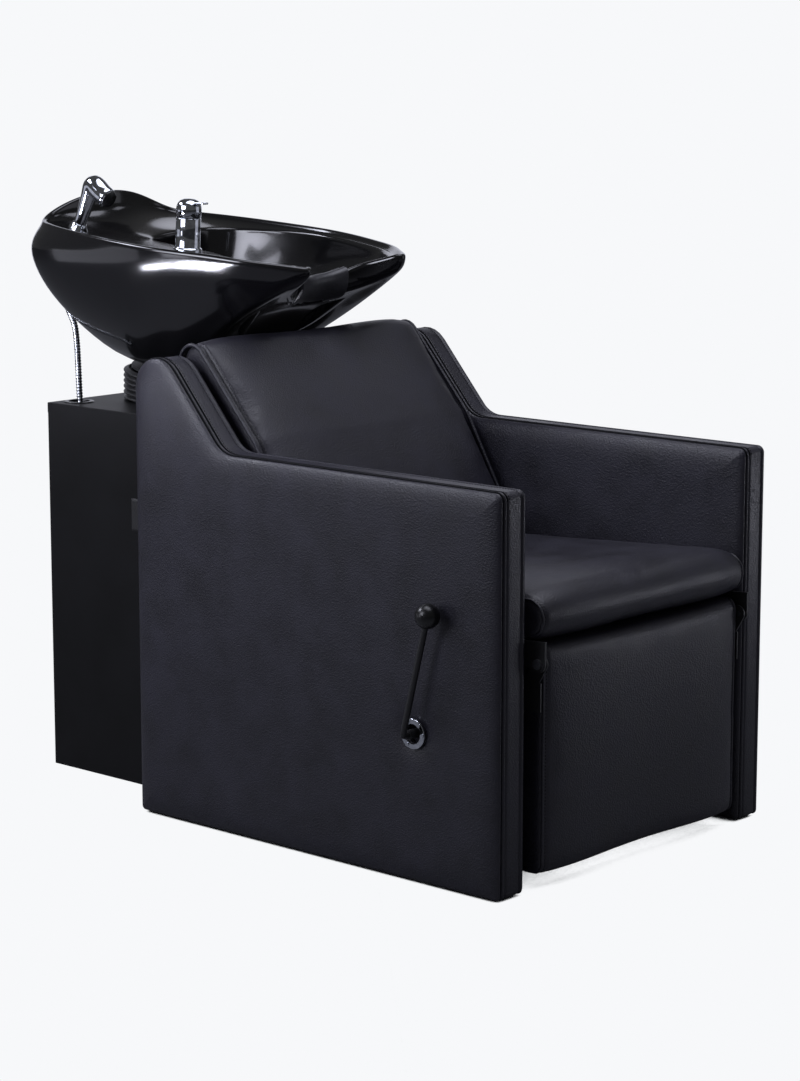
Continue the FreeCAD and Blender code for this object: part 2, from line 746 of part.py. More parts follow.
def floor_frame():
    rail_x = fixing_pitch_x / 2
    half = base_rail_width / 2
    end = base_rail_length / 2
    frame = block(-rail_x - half, half - rail_x, -end, end, 0, base_rail_height)
    frame = frame.fuse(mirrored(frame))
    for setback in crossbar_setbacks:
        y = front_y + setback
        frame = frame.fuse(block(-rail_half, rail_half, y, y + crossbar_width, 0, base_rail_height))
    frame = frame.removeSplitter()
    for x in (-rail_x, rail_x):
        for y in (-fixing_pitch_y / 2, fixing_pitch_y / 2):
            frame = frame.cut(rod(point(x, y, -overrun), point(x, y, base_rail_height + overrun), fixing_radius))
    save("base_frame", frame)


def cabinet():
    half = cabinet_width / 2
    inside = half - cabinet_board
    end_y = rear_y + cabinet_depth
    under = cabinet_height - cabinet_board
    side = block(inside, half, rear_y, end_y, 0, under)
    edges = [edge for edge in side.Edges
             if edge.BoundBox.YMin > end_y - soft_gap and edge.BoundBox.XMin > half - soft_gap]
    side = side.makeFillet(cabinet_edge, edges)
    save("cabinet_sides", side, mirrored(side))
    save("cabinet_front_board", block(-inside, inside, rear_y, rear_y + cabinet_board, panel_lift, under))
    top = block(-half, half, rear_y, end_y, under, cabinet_height)
    rim = [edge for edge in top.Edges if edge.BoundBox.ZMin > cabinet_height - soft_gap]
    top = top.makeFillet(cabinet_edge, rim)
    for x, y, radius in ((0, tilt_y, service_radius), (-hose_hole_x, hose_hole_y, hose_hole_radius)):
        top = top.cut(rod(point(x, y, under - overrun), point(x, y, cabinet_height + overrun), radius))
    save("cabinet_top", top)
    rear = block(-inside, inside, end_y - cabinet_rear_board, end_y, panel_lift, under)
    pipes = [(0, waste_height, waste_radius)]
    pipes += [(side * supply_spread / 2, supply_height, supply_radius) for side in (-1, 1)]
    for x, z, radius in pipes:
        rear = rear.cut(rod(point(x, end_y - cabinet_rear_board - overrun, z),
                            point(x, end_y + overrun, z), radius))
    save("cabinet_rear_panel", rear)
    screws = []
    for sx in (-1, 1):
        for z in (panel_lift + cabinet_screw_inset, under - cabinet_screw_inset):
            x = sx * (inside - cabinet_screw_inset)
            screws.append(rod(point(x, end_y, z), point(x, end_y + cabinet_screw_head, z), cabinet_screw_radius))
    save("cabinet_screws", *screws)


def in_bowl(shape):
    # From the bowl's own frame, with the foot's centre at its origin, to its place on the tilt axis.
    placed = shape.copy()
    placed.translate(point(0, 0, foot_rise))
    placed.rotate(point(0, 0, 0), across, bowl_lean)
    placed.translate(point(0, tilt_y, tilt_height))
    return placed


def save_in_bowl(name, *shapes):
    save(name, *[in_bowl(shape) for shape in shapes])


def smooth_loop(points):
    curve = Part.BSplineCurve()
    curve.interpolate(points, True)
    return Part.Wire([curve.toShape()])


def bowl_loop(half_shares, height, inset):
    # One level outline of the bowl's outside, drawn in towards its axis by an inset.
    half = [point(x * bowl_width / 2, y * bowl_length, 0) for x, y in half_shares]
    half = [corner - corner * (inset / corner.Length) for corner in half]
    other = [point(-corner.x, corner.y, 0) for corner in reversed(half[1:-1])]
    return smooth_loop([corner + up * height for corner in half + other])


def bowl_body():
    loops = [bowl_loop(shares, level * bowl_depth, 0) for level, shares in bowl_section_shares]
    return Part.makeLoft(loops, True, False)


def drain_place():
    return point(drain_x_share * bowl_width / 2, drain_y_share * bowl_length, 0)


def basin_body():
    # The basin's hollow, drawn in towards the drain level by level.
    centre = drain_place()
    loops = []
    for level, width, front, rear in basin_level_shares:
        loop = []
        for x, y in basin_mouth_shares:
            reach = point(x * bowl_width / 2, y * bowl_length, 0) - centre
            reach = point(reach.x * width, reach.y * (front if reach.y < 0 else rear), 0)
            loop.append(centre + reach + up * level * bowl_depth)
        loops.append(smooth_loop(loop))
    return Part.makeLoft(loops, True, False)


def shower_axis():
    turn = math.radians(shower_lean)
    return point(0, -math.sin(turn), math.cos(turn))


def shower_foot():
    return point(-shower_x, shower_y, bowl_depth - deck_drop)


def hose_points():
    start = in_bowl(Part.Vertex(shower_foot() - shower_axis() * guide_length)).Point
    hole = point(-hose_hole_x, hose_hole_y, cabinet_height)
    upper = [start + point(*step) for step in hose_upper_route]
    return upper + [hole + point(*step) for step in hose_lower_route]


def supply_entry(side):
    # Where a supply hose passes the bowl's foot, in the bowl's own frame.
    return point(side * supply_pitch / 2 - supply_pass_x, supply_pass_y, -bracket_plate)


def tail_route(side):
    # One of the mixer's two tails, or with side 0 the middle of their duct.
    entry = supply_entry(side)
    goal = point(side * supply_pitch / 2 - mixer_x, -mixer_y, bowl_depth - deck_drop - mixer_shank_length)
    route = []
    for way, rise in tail_way_shares:
        route.append(point(entry.x + (goal.x - entry.x) * way, entry.y + (goal.y - entry.y) * way,
                           entry.z + (goal.z - entry.z) * rise))
    return route


def neck_rest(body, dip_radius, dip_height):
    # A soft saddle over the lip, hollowed by the lip itself.
    lip = bowl_section_shares[-1][1][0][1] * bowl_length
    mouth = basin_mouth_shares[0][1] * bowl_length
    low = bowl_depth - neck_dip - neck_pad_skirt
    blank = block(-neck_pad_half_width, neck_pad_half_width, lip - neck_pad_cover * 2, mouth + neck_pad_cover,
                  low, bowl_depth)
    over = rod(point(0, lip - bowl_length, dip_height), point(0, mouth + bowl_length, dip_height),
               dip_radius - neck_pad_cover)
    blank = blank.cut(over)
    top = [edge for edge in blank.Edges
           if edge.BoundBox.ZMin > low + soft_gap and edge.BoundBox.XLength > neck_pad_half_width]
    blank = blank.makeFillet(neck_pad_cover, top)
    save("neck_rest", max(in_bowl(blank).cut(body).Solids, key=lambda solid: solid.Volume))


def bowl():
    deck = bowl_depth - deck_drop
    body = bowl_body()
    long = bowl_length
    rim_loop = bowl_loop(bowl_section_shares[-1][1], deck, bowl_rim)
    body = body.cut(Part.Face(rim_loop).extrude(up * (deck_drop + overrun)))
    body = body.cut(basin_body())
    dip_radius = ((neck_dip_width / 2) ** 2 + neck_dip ** 2) / (2 * neck_dip)
    dip_height = bowl_depth - neck_dip + dip_radius
    dip_end = -neck_dip_reach_share * bowl_length
    body = body.cut(rod(point(0, -long, dip_height), point(0, dip_end, dip_height), dip_radius))
    steps = 8
    ridge = []
    for i in range(steps + 1):
        t = 2 * i / steps - 1
        ridge.append(point(t * crest_half_width, 0, crest_rise * (1 - t * t) ** 1.5))
    curve = Part.BSplineCurve()
    curve.interpolate(ridge)
    foot = [point(side * crest_half_width, 0, -deck_drop - overrun) for side in (1, -1)]
    outline = Part.Wire([
        curve.toShape(), Part.LineSegment(ridge[-1], foot[0]).toShape(),
        Part.LineSegment(foot[0], foot[1]).toShape(), Part.LineSegment(foot[1], ridge[0]).toShape(),
    ])
    crest = Part.Face(outline).extrude(along * crest_thick)
    rear = bowl_section_shares[-1][1][-1][1] * bowl_length
    crest.translate(point(0, rear - crest_thick, bowl_depth))
    body = body.fuse(crest)
    drain = drain_place()
    body = body.cut(rod(drain - up * overrun, drain + up * bowl_depth / 2, tail_radius + soft_gap))
    mixer = point(-mixer_x, -mixer_y, 0)
    shank_end = deck - mixer_shank_length - plate_gap
    body = body.cut(rod(mixer + up * shank_end, mixer + up * (deck + overrun), mixer_shank_radius + soft_gap))
    body = body.cut(rod(mixer + up * shank_end, mixer + up * (deck - deck_thick), mixer_nut_radius + plate_gap))
    duct_radius = supply_pitch / 2 + supply_hose_radius + plate_gap
    body = body.cut(tube_along(tail_route(0), duct_radius, hose_bend_share))
    foot = shower_foot()
    axis = shower_axis()
    body = body.cut(rod(foot - axis * guide_length, foot + axis * overrun, guide_radius + soft_gap))
    body = in_bowl(body.removeSplitter().Solids[0])
    hose_way = hose_points()[:len(hose_upper_route)]
    body = body.cut(tube_along(hose_way, hose_exit_radius, hose_bend_share))
    save("bowl", body)
    neck_rest(body, dip_radius, dip_height)




def waste_fittings():
    drain = drain_place()
    floor = basin_level_shares[-1][0] * bowl_depth
    bore = tail_radius - tail_wall
    well = drain + up * floor
    foot = drain - up * tail_drop
    lip = well + up * drain_lip
    fitting = rod(foot, well, tail_radius).fuse(rod(well, lip, drain_radius)).removeSplitter()
    save_in_bowl("waste_fitting", fitting.cut(rod(foot, lip, bore)))
    seat = well + up * (drain_lip + soft_gap)
    disc = rod(seat, seat + up * strainer_thick, strainer_radius)
    for i in range(strainer_hole_count):
        dx, dy = polar(360 * i / strainer_hole_count, strainer_hole_ring)
        hole = seat + point(dx, dy, 0)
        disc = disc.cut(rod(hole - up * overrun, hole + up * overrun, strainer_hole_radius))
    knob = rod(seat + up * strainer_thick, seat + up * strainer_knob_height, strainer_knob_radius)
    save_in_bowl("hair_strainer", disc.fuse(knob).removeSplitter())


def tilt_bracket():
    x0 = tilt_ear_offset
    x1 = x0 + tilt_ear_thick
    base = cabinet_height + bracket_plate
    plate = rod(point(0, tilt_y, cabinet_height), point(0, tilt_y, base), bracket_base_radius)
    plate = plate.cut(rod(point(0, tilt_y, cabinet_height), point(0, tilt_y, base), bracket_bore))
    ear = slab_x([(tilt_y - tilt_ear_radius, base), (tilt_y - tilt_ear_radius, tilt_height + tilt_ear_radius),
                  (tilt_y + tilt_ear_radius, tilt_height + tilt_ear_radius), (tilt_y + tilt_ear_radius, base)],
                 [0, tilt_ear_radius - soft_gap, tilt_ear_radius - soft_gap, 0], x0, x1)
    ear = ear.cut(cross_rod(x0 - overrun, x1 + overrun, tilt_y, tilt_height, tilt_pin_radius))
    save("tilt_bracket_base", plate.fuse(ear).fuse(mirrored(ear)).removeSplitter())
    y0 = x1 + plate_gap
    y1 = y0 + tilt_ear_thick
    disc = rod(point(0, 0, -bracket_plate), point(0, 0, 0), bracket_radius)
    disc = disc.cut(rod(point(0, 0, -bracket_plate), point(0, 0, 0), bracket_bore))
    low = -foot_rise - tilt_ear_radius
    ear = slab_x([(-tilt_ear_radius, -bracket_plate), (-tilt_ear_radius, low),
                  (tilt_ear_radius, low), (tilt_ear_radius, -bracket_plate)],
                 [0, tilt_ear_radius - soft_gap, tilt_ear_radius - soft_gap, 0], y0, y1)
    ear = ear.cut(cross_rod(y0 - overrun, y1 + overrun, 0, -foot_rise, tilt_pin_radius + running_gap))
    save_in_bowl("tilt_bracket_top", disc.fuse(ear).fuse(mirrored(ear)).removeSplitter())
    head_x = y1 + soft_gap
    pin = cross_rod(x0, head_x, tilt_y, tilt_height, tilt_pin_radius)
    pin = pin.fuse(cross_rod(head_x, head_x + tilt_pin_head, tilt_y, tilt_height, tilt_pin_head_radius))
    save("tilt_pins", pin, mirrored(pin))


def bellows():
    low = point(0, tilt_y, cabinet_height)
    turn = math.radians(bowl_lean)
    drop = foot_rise - bracket_plate - soft_gap
    high = point(0, tilt_y - drop * math.sin(turn), tilt_height + drop * math.cos(turn))
    inner = []
    outer = []
    for rib in range(bellows_ribs):
        for place, fold in zip(rib_place_shares, rib_fold_shares):
            way = (rib + place) / bellows_ribs
            if rib == 0 and place == rib_place_shares[0]:
                way = 0
            if rib == bellows_ribs - 1 and place == rib_place_shares[-1]:
                way = 1
            centre = low + (high - low) * way
            normal = point(0, -math.sin(turn * way), math.cos(turn * way))
            for wall, wires in ((0, outer), (bellows_wall, inner)):
                ring = Part.Circle(centre, normal, bellows_radius - fold * bellows_fold - wall)
                ring.XAxis = across
                wires.append(Part.Wire([ring.toShape()]))
    shell = Part.makeLoft(outer, True, True).cut(Part.makeLoft(inner, True, True))
    save("bellows", shell)


def plumbing():
    end_y = rear_y + cabinet_depth
    start = point(0, end_y, waste_height)
    mouth = point(0, end_y + waste_stub, waste_height)
    knee = point(0, tilt_y + waste_bend, waste_height)
    top = point(0, tilt_y, waste_height + waste_bend)
    inset = waste_bend * (1 - math.sqrt(0.5))
    sweep = Part.Wire([
        Part.LineSegment(start, knee).toShape(),
        Part.Arc(knee, point(0, tilt_y + inset, waste_height + inset), top).toShape(),
    ])
    rings = [Part.Wire([Part.makeCircle(radius, start, along)]) for radius in (waste_radius, waste_bore)]
    pipe, bore = (sweep.makePipeShell([ring], True, False) for ring in rings)
    stub = rod(start, mouth, waste_stub_radius).cut(rod(start, mouth, waste_bore))
    save("waste_pipe", pipe.cut(bore).fuse(stub).removeSplitter())
    marker = in_bowl(Part.Vertex(drain_place() - up * (tail_drop + hose_end_gap))).Point
    route = []
    for way, fall in waste_way_shares:
        route.append(point(marker.x + (top.x - marker.x) * way, marker.y + (top.y - marker.y) * way,
                           marker.z + (top.z - marker.z) * fall))
    save("waste_hose", tube_along(route, waste_hose_radius, hose_bend_share))
    valves = []
    hoses = []
    tails = []
    inside = end_y - cabinet_rear_board
    for side in (-1, 1):
        x = side * supply_spread / 2
        valve_y = inside - valve_length / 2
        stub = point(x, end_y + supply_stub, supply_height)
        valve = rod(point(x, inside - valve_length, supply_height), point(x, inside, supply_height),
                    valve_radius)
        neck_top = supply_height + valve_radius * 2
        valve = valve.fuse(rod(point(x, valve_y, supply_height), point(x, valve_y, neck_top), supply_radius))
        valve = valve.fuse(rod(point(x, inside, supply_height), point(x, end_y, supply_height), supply_radius))
        valve = valve.fuse(rod(point(x, end_y, supply_height), stub, supply_stub_radius))
        valves.append(valve.removeSplitter().cut(rod(point(x, inside, supply_height), stub, supply_bore)))
        gate = in_bowl(Part.Vertex(supply_entry(side))).Point - up * hose_end_gap
        route = [point(x, valve_y, neck_top)]
        for way, rise in supply_way_shares:
            route.append(point(x + (gate.x - x) * way, valve_y + (gate.y - valve_y) * way,
                               neck_top + (gate.z - neck_top) * rise))
        hoses.append(tube_along(route, supply_hose_radius, hose_bend_share))
        tails.append(tube_along(tail_route(side), supply_hose_radius, hose_bend_share))
    save("supply_valves", *valves)
    save("supply_hoses", *hoses)
    save_in_bowl("mixer_tails", *tails)


def mixer():
    deck = bowl_depth - deck_drop
    axis = point(-mixer_x, -mixer_y, 0)
    foot = axis + up * deck
    collar = foot + up * mixer_ring_height
    shoulder = foot + up * mixer_body_height
    ring = rod(foot, collar, mixer_ring_radius)
    ring = ring.cut(rod(foot, collar, mixer_shank_radius))
    save_in_bowl("mixer_base_ring", ring)
    body = rod(collar, shoulder, mixer_radius)
    shank = rod(foot - up * mixer_shank_length, collar, mixer_shank_radius)
    save_in_bowl("mixer_body", body.fuse(shank).removeSplitter())
    under = foot - up * deck_thick
    nut = rod(under - up * mixer_nut_height, under, mixer_nut_radius)
    thread = rod(under - up * mixer_nut_height, under, mixer_shank_radius + soft_gap)
    save_in_bowl("mixer_nut", nut.cut(thread))
    base = shoulder + up * mixer_cap_gap
    crown = base + up * mixer_cap_height
    cap = rod(base, crown, mixer_radius)
    cap = cap.common(Part.makeSphere(mixer_dome_radius, crown - up * mixer_dome_radius))
    hinge = crown - up * lever_hinge_drop
    half = handle_width / 2
    reach = mixer_radius + overrun
    floor = hinge.z - lever_hinge_radius - handle_slot_gap
    slot = block(axis.x - half - handle_slot_gap, axis.x + half + handle_slot_gap, axis.y - reach,
                 axis.y + handle_root, floor, crown.z + overrun)
    cap = cap.cut(slot)
    hinge_pin = rod(hinge - across * mixer_radius / 2, hinge + across * mixer_radius / 2,
                    lever_hinge_radius / 2)
    save_in_bowl("mixer_cap", cap.fuse(hinge_pin.common(rod(base, crown, mixer_radius))).removeSplitter())
    grip = rod(hinge - across * half, hinge + across * half, lever_hinge_radius)
    low = hinge.z - handle_thick / 2
    paddle = block(axis.x - half, axis.x + half, axis.y - handle_reach + half, axis.y, low, low + handle_thick)
    tip = point(axis.x, axis.y - handle_reach + half, low)
    paddle = paddle.fuse(rod(tip, tip + up * handle_thick, half)).fuse(grip)
    bore = rod(hinge - across * mixer_radius, hinge + across * mixer_radius,
               lever_hinge_radius / 2 + running_gap)
    save_in_bowl("mixer_handle", paddle.removeSplitter().cut(bore))
    dot = point(axis.x - mixer_radius, axis.y, base.z + mixer_cap_height / 3)
    dot_rod = rod(dot + across * index_thick, dot - across * index_thick, index_radius)
    save_in_bowl("mixer_index", dot_rod.cut(rod(base, crown, mixer_radius)))


def hand_shower():
    axis = shower_axis()
    foot = shower_foot()
    deck = bowl_depth - deck_drop
    top = foot + axis * guide_rise
    end = foot - axis * guide_length
    guide = rod(end, top, guide_radius).cut(rod(end, top, guide_bore))
    save_in_bowl("hose_guide", guide)
    lip = foot + axis * socket_height
    socket = rod(foot - axis * socket_height, lip, socket_radius)
    socket = socket.cut(rod(foot - axis * socket_height, lip, guide_radius + soft_gap))
    reach = socket_radius * 2
    below = block(foot.x - reach, foot.x + reach, foot.y - reach, foot.y + reach, deck - reach, deck)
    save_in_bowl("shower_socket", socket.cut(below))
    heel = top + axis * socket_gap
    neck = heel + axis * stem_length
    turn = math.radians(head_angle)
    nose = point(0, -math.sin(turn), math.cos(turn))
    stem = Part.makeCone(stem_foot_radius, stem_top_radius, stem_length, heel, axis)
    head = rod(neck, neck + nose * head_length, head_radius)
    body = stem.fuse(Part.makeSphere(head_radius, neck)).fuse(head)
    face = neck + nose * head_length
    save_in_bowl("shower_handset", body.removeSplitter())
    save_in_bowl("spray_face", rod(face, face + nose * spray_thick, spray_radius))
    save_in_bowl("hose_upper", rod(end + axis * socket_gap, heel, hose_radius))
    route = hose_points()
    save("shower_hose", tube_along(route, hose_radius, hose_bend_share))
    last = route[-1]
    heading = (last - route[-2]).normalize()
    union = rod(last, last + heading * union_length, union_radius)
    wall = cabinet_board - cabinet_width / 2
    end = last + heading * union_length
    clip = block(wall, last.x, end.y - union_radius, end.y, end.z - union_radius, end.z)
    save("hose_union", union.fuse(clip).removeSplitter())


side_panels()
seat()
back()
footrest()
hangers()
lever()
floor_frame()
cabinet()
bowl()
waste_fittings()
tilt_bracket()
bellows()
plumbing()
mixer()
hand_shower()
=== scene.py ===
import json
import math

import bmesh
import bpy
from mathutils import Matrix, Vector, geometry
from mathutils.bvhtree import BVHTree
from mathutils.kdtree import KDTree


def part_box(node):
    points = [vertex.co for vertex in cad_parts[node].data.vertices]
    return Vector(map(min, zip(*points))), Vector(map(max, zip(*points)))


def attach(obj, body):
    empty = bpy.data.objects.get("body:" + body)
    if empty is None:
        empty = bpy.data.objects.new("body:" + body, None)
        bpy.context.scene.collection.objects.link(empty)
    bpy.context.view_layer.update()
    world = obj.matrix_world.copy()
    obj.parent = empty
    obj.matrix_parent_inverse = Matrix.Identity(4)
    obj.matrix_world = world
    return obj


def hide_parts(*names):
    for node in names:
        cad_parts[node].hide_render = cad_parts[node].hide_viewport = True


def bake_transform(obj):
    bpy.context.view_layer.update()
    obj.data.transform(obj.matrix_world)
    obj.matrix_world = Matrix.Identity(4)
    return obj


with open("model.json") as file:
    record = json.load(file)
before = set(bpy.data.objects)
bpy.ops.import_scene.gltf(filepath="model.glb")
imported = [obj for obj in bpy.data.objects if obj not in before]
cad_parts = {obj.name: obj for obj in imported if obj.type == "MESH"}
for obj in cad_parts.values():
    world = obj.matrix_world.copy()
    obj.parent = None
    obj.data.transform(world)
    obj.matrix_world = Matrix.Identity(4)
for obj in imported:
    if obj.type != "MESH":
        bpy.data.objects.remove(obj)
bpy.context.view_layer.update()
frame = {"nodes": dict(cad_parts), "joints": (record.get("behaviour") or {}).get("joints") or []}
nodes = frame["nodes"]
scene = bpy.context.scene
mm = 0.001
weldGap = 0.01 * mm
up = Vector((0, 0, 1))
print("frame loaded:", len(nodes), "nodes")


# Small tools

def linearColour(hexText):
    parts = [int(hexText[i:i + 2], 16) / 255 for i in (1, 3, 5)]
    return [p / 12.92 if p <= 0.04045 else ((p + 0.055) / 1.055) ** 2.4 for p in parts] + [1.0]


def setInputs(tree, node, inputs):
    # an input is a value, an output, or a node, which stands for its first output
    for name, value in inputs.items():
        key = int(name[1:]) if name[1:].isdigit() else name.replace("_", " ")
        if isinstance(value, bpy.types.Node):
            value = value.outputs[0]
        if isinstance(value, bpy.types.NodeSocket):
            tree.links.new(value, node.inputs[key])
        else:
            node.inputs[key].default_value = value


def addNode(tree, kind, settings=None, **inputs):
    # one node with its settings and links; stops are a ramp's (place, hex) pairs
    node = tree.nodes.new("ShaderNode" + kind)
    for name, value in (settings or {}).items():
        if name != "stops":
            setattr(node, name, value)
            continue
        points = node.color_ramp.elements
        while len(points) < len(value):
            points.new(0.5)
        for point, (place, colour) in zip(points, value):
            point.position = place
            point.color = linearColour(colour)
    setInputs(tree, node, inputs)
    return node


def startMaterial(name, **inputs):
    # a material with its tree, its shader and the object's own coordinates
    material = bpy.data.materials.new(name)
    material.use_nodes = True
    tree = material.node_tree
    shader = tree.nodes["Principled BSDF"]
    setInputs(tree, shader, inputs)
    return material, tree, shader, addNode(tree, "TexCoord").outputs["Object"]


def toPiece(bm, name, material, smooth=True):
    # writes a bmesh to a new object at the origin
    bmesh.ops.recalc_face_normals(bm, faces=bm.faces)
    mesh = bpy.data.meshes.new(name)
    bm.to_mesh(mesh)
    bm.free()
    mesh.polygons.foreach_set("use_smooth", [smooth] * len(mesh.polygons))
    piece = bpy.data.objects.new(name, mesh)
    scene.collection.objects.link(piece)
    mesh.materials.append(material)
    return piece


def settle(piece, body, slot, *replaced):
    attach(piece, body)
    if replaced:
        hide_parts(*replaced)
    return piece


def addPiece(bm, name, material, body, slot, *replaced):
    return settle(toPiece(bm, name, material), body, slot, *replaced)


def addModifier(piece, kind, **settings):
    modifier = piece.modifiers.new(kind.title(), kind)
    for name, value in settings.items():
        setattr(modifier, name, value)
    return modifier


def bake(piece):
    # applies the modifiers
    graph = bpy.context.evaluated_depsgraph_get()
    mesh = bpy.data.meshes.new_from_object(piece.evaluated_get(graph))
    mesh.polygons.foreach_set("use_smooth", [True] * len(mesh.polygons))
    piece.modifiers.clear()
    piece.data = mesh
    return piece


def ringSkin(rings, closed=False, bm=None):
    # extrudes one loop of vertices through a row of rings with the same count
    bm = bm or bmesh.new()
    order = bm.verts.layers.int.get("order") or bm.verts.layers.int.new("order")
    first = bmesh.ops.create_circle(bm, segments=len(rings[0]), radius=1)["verts"]
    for i, vert in enumerate(first):
        vert[order] = i
        vert.co = rings[0][i]
    start = list({e for vert in first for e in vert.link_edges})
    edges = start
    for ring in rings[1:]:
        grown = bmesh.ops.extrude_edge_only(bm, edges=edges)["geom"]
        verts = {item for item in grown if isinstance(item, bmesh.types.BMVert)}
        for vert in verts:
            vert.co = ring[vert[order]]
        edges = list({e for vert in verts for e in vert.link_edges if e.other_vert(vert) in verts})
    if closed:
        bmesh.ops.bridge_loops(bm, edges=start + edges)
    return bm, start, edges


def roundLoop(points, steps):
    # a closed smooth line through the points, with the same steps between each two
    count = len(points)
    loop = []
    for i in range(count):
        before, here, after, beyond = (points[(i + k) % count] for k in (-1, 0, 1, 2))
        loop += geometry.interpolate_bezier(
            here, here + (after - before) / 6, after - (beyond - here) / 6, after, steps + 1)[:-1]
    return loop


def lathe(profile, place, steps=48):
    # spins (radius, height) points in mm about the local Z of a placing matrix
    bm = bmesh.new()
    verts = [bm.verts.new((r * mm, 0, h * mm)) for r, h in profile]
    edges = [bm.edges.new(pair) for pair in zip(verts, verts[1:])]
    bmesh.ops.spin(bm, geom=verts + edges, cent=(0, 0, 0), axis=(0, 0, 1), angle=math.tau,
                   steps=steps, use_merge=True)
    bmesh.ops.remove_doubles(bm, verts=bm.verts, dist=weldGap)
    bmesh.ops.transform(bm, matrix=place, verts=bm.verts)
    return bm


def roundEdges(bm, edges, offset, segments, clamp=False):
    bmesh.ops.bevel(bm, geom=edges, offset=offset, offset_type="OFFSET", segments=segments, profile=0.5,
                    affect="EDGES", material=-1, clamp_overlap=clamp)


def aimed(origin, direction):
    # a placing matrix with local Z along a direction
    return Matrix.Translation(origin) @ direction.to_track_quat("Z", "Y").to_matrix().to_4x4()


def lineLength(line):
    return sum((b - a).length for a, b in zip(line, line[1:]))


def splineCurve(points, kind):
    curve = bpy.data.curves.new("route", "CURVE")
    curve.dimensions = "3D"
    spline = curve.splines.new(kind)
    spline.points.add(len(points) - 1)
    for target, source in zip(spline.points, points):
        target.co = (*source, 1)
    return curve, spline


def smoothLine(points, spacing):
    # points along the order 3 NURBS line of a route
    curve, spline = splineCurve(points, "NURBS")
    spline.order_u = 3
    spline.use_endpoint_u = True
    spline.resolution_u = 24
    holder = bpy.data.objects.new("route", curve)
    mesh = bpy.data.meshes.new_from_object(holder)
    line = [v.co.copy() for v in mesh.vertices]
    bpy.data.objects.remove(holder)
    bpy.data.curves.remove(curve)
    bpy.data.meshes.remove(mesh)
    return evenPoints(line, spacing)


def evenPoints(line, spacing):
    # the same line with points at an even spacing
    length = lineLength(line)
    count = max(2, round(length / spacing))
    made = [line[0].copy()]
    walked = 0
    goal = length / count
    for a, b in zip(line, line[1:]):
        run = (b - a).length
        while run > 0 and goal <= walked + run + 1e-9 and len(made) < count:
            made.append(a.lerp(b, (goal - walked) / run))
            goal += length / count
        walked += run
    made.append(line[-1].copy())
    return made


def circle(count):
    # cosines and sines once round
    turns = [math.tau * k / count for k in range(count)]
    return [(math.cos(turn), math.sin(turn)) for turn in turns]


def tubeRings(line, radii, sides):
    # rings square to a line, carried along it without twist
    rings = []
    tangent = (line[1] - line[0]).normalized()
    side = tangent.orthogonal().normalized()
    for i, here in enumerate(line):
        ahead = (line[min(i + 1, len(line) - 1)] - line[max(i - 1, 0)]).normalized()
        side = (tangent.rotation_difference(ahead) @ side).normalized()
        tangent = ahead
        other = tangent.cross(side)
        rings.append([here + (side * c + other * s) * radii[i] for c, s in circle(sides)])
    return rings


def tube(line, radii, sides=16, bm=None):
    bm, start, end = ringSkin(tubeRings(line, radii, sides), bm=bm)
    bmesh.ops.holes_fill(bm, edges=start + end)
    return bm


# Camera at the photograph's angle

view = {
    "place": (-3.565396, -3.300275, 1.313712),
    "ahead": (0.7306, 0.6596, -0.1766),
    "lens": 97.17,
    "sensor": 36,
}


def placed(name, data, place, direction):
    # a camera or lamp that looks in a direction
    thing = bpy.data.objects.new(name, data)
    thing.location = place
    thing.rotation_mode = "QUATERNION"
    thing.rotation_quaternion = Vector(direction).to_track_quat("-Z", "Y")
    scene.collection.objects.link(thing)
    return thing


scene.camera = placed("camera", bpy.data.cameras.new("camera"), view["place"], view["ahead"])
scene.camera.data.lens = view["lens"]
scene.camera.data.sensor_width = view["sensor"]
scene.view_settings.view_transform = "Standard"
print("camera set")


# Materials

def leatherette():
    # PVC-coated cloth, embossed: a satin black skin with fine pebbled grain and a soft sheen
    # the real grain is about 1 mm, drawn at 2.6 mm so that it shows
    material, tree, shader, where = startMaterial("leatherette", IOR=1.5)
    pebbles = {"feature": "SMOOTH_F1"}
    grain = addNode(tree, "TexVoronoi", pebbles, Vector=where, Scale=1 / 2.6e-3, Smoothness=0.4)
    cloud = addNode(tree, "TexNoise", Vector=where, Scale=1 / 60e-3, Detail=4.0, Roughness=0.55)
    drawn = addNode(tree, "Mapping", Vector=where, Scale=(1, 1, 2))
    crease = addNode(tree, "TexNoise", Vector=drawn, Scale=1 / 9e-3, Detail=3.0)
    tone = addNode(tree, "ValToRGB", {"stops": [(0.3, "#16151d"), (0.7, "#201f2a")]}, Fac=cloud)
    gloss = addNode(tree, "MapRange", Value=cloud, From_Min=0.3, From_Max=0.7, To_Min=0.4, To_Max=0.52)
    fine = addNode(tree, "Bump", Strength=0.8, Distance=0.5 * mm, Height=grain)
    broad = addNode(tree, "Bump", Strength=0.14, Distance=1.0 * mm, Height=crease, Normal=fine)
    setInputs(tree, shader, {"Base Color": tone, "Roughness": gloss, "Normal": broad})
    return material


def sewingThread():
    # bonded polyester thread: twisted and dull, so it stays blacker than the skin round it
    material, tree, shader, where = startMaterial("sewingThread", Roughness=0.85, IOR=1.25)
    twist = addNode(tree, "TexNoise", Vector=where, Scale=1 / 0.8e-3)
    tone = addNode(tree, "ValToRGB", {"stops": [(0.35, "#08080a"), (0.65, "#161619")]}, Fac=twist)
    setInputs(tree, shader, {"Base Color": tone})
    return material


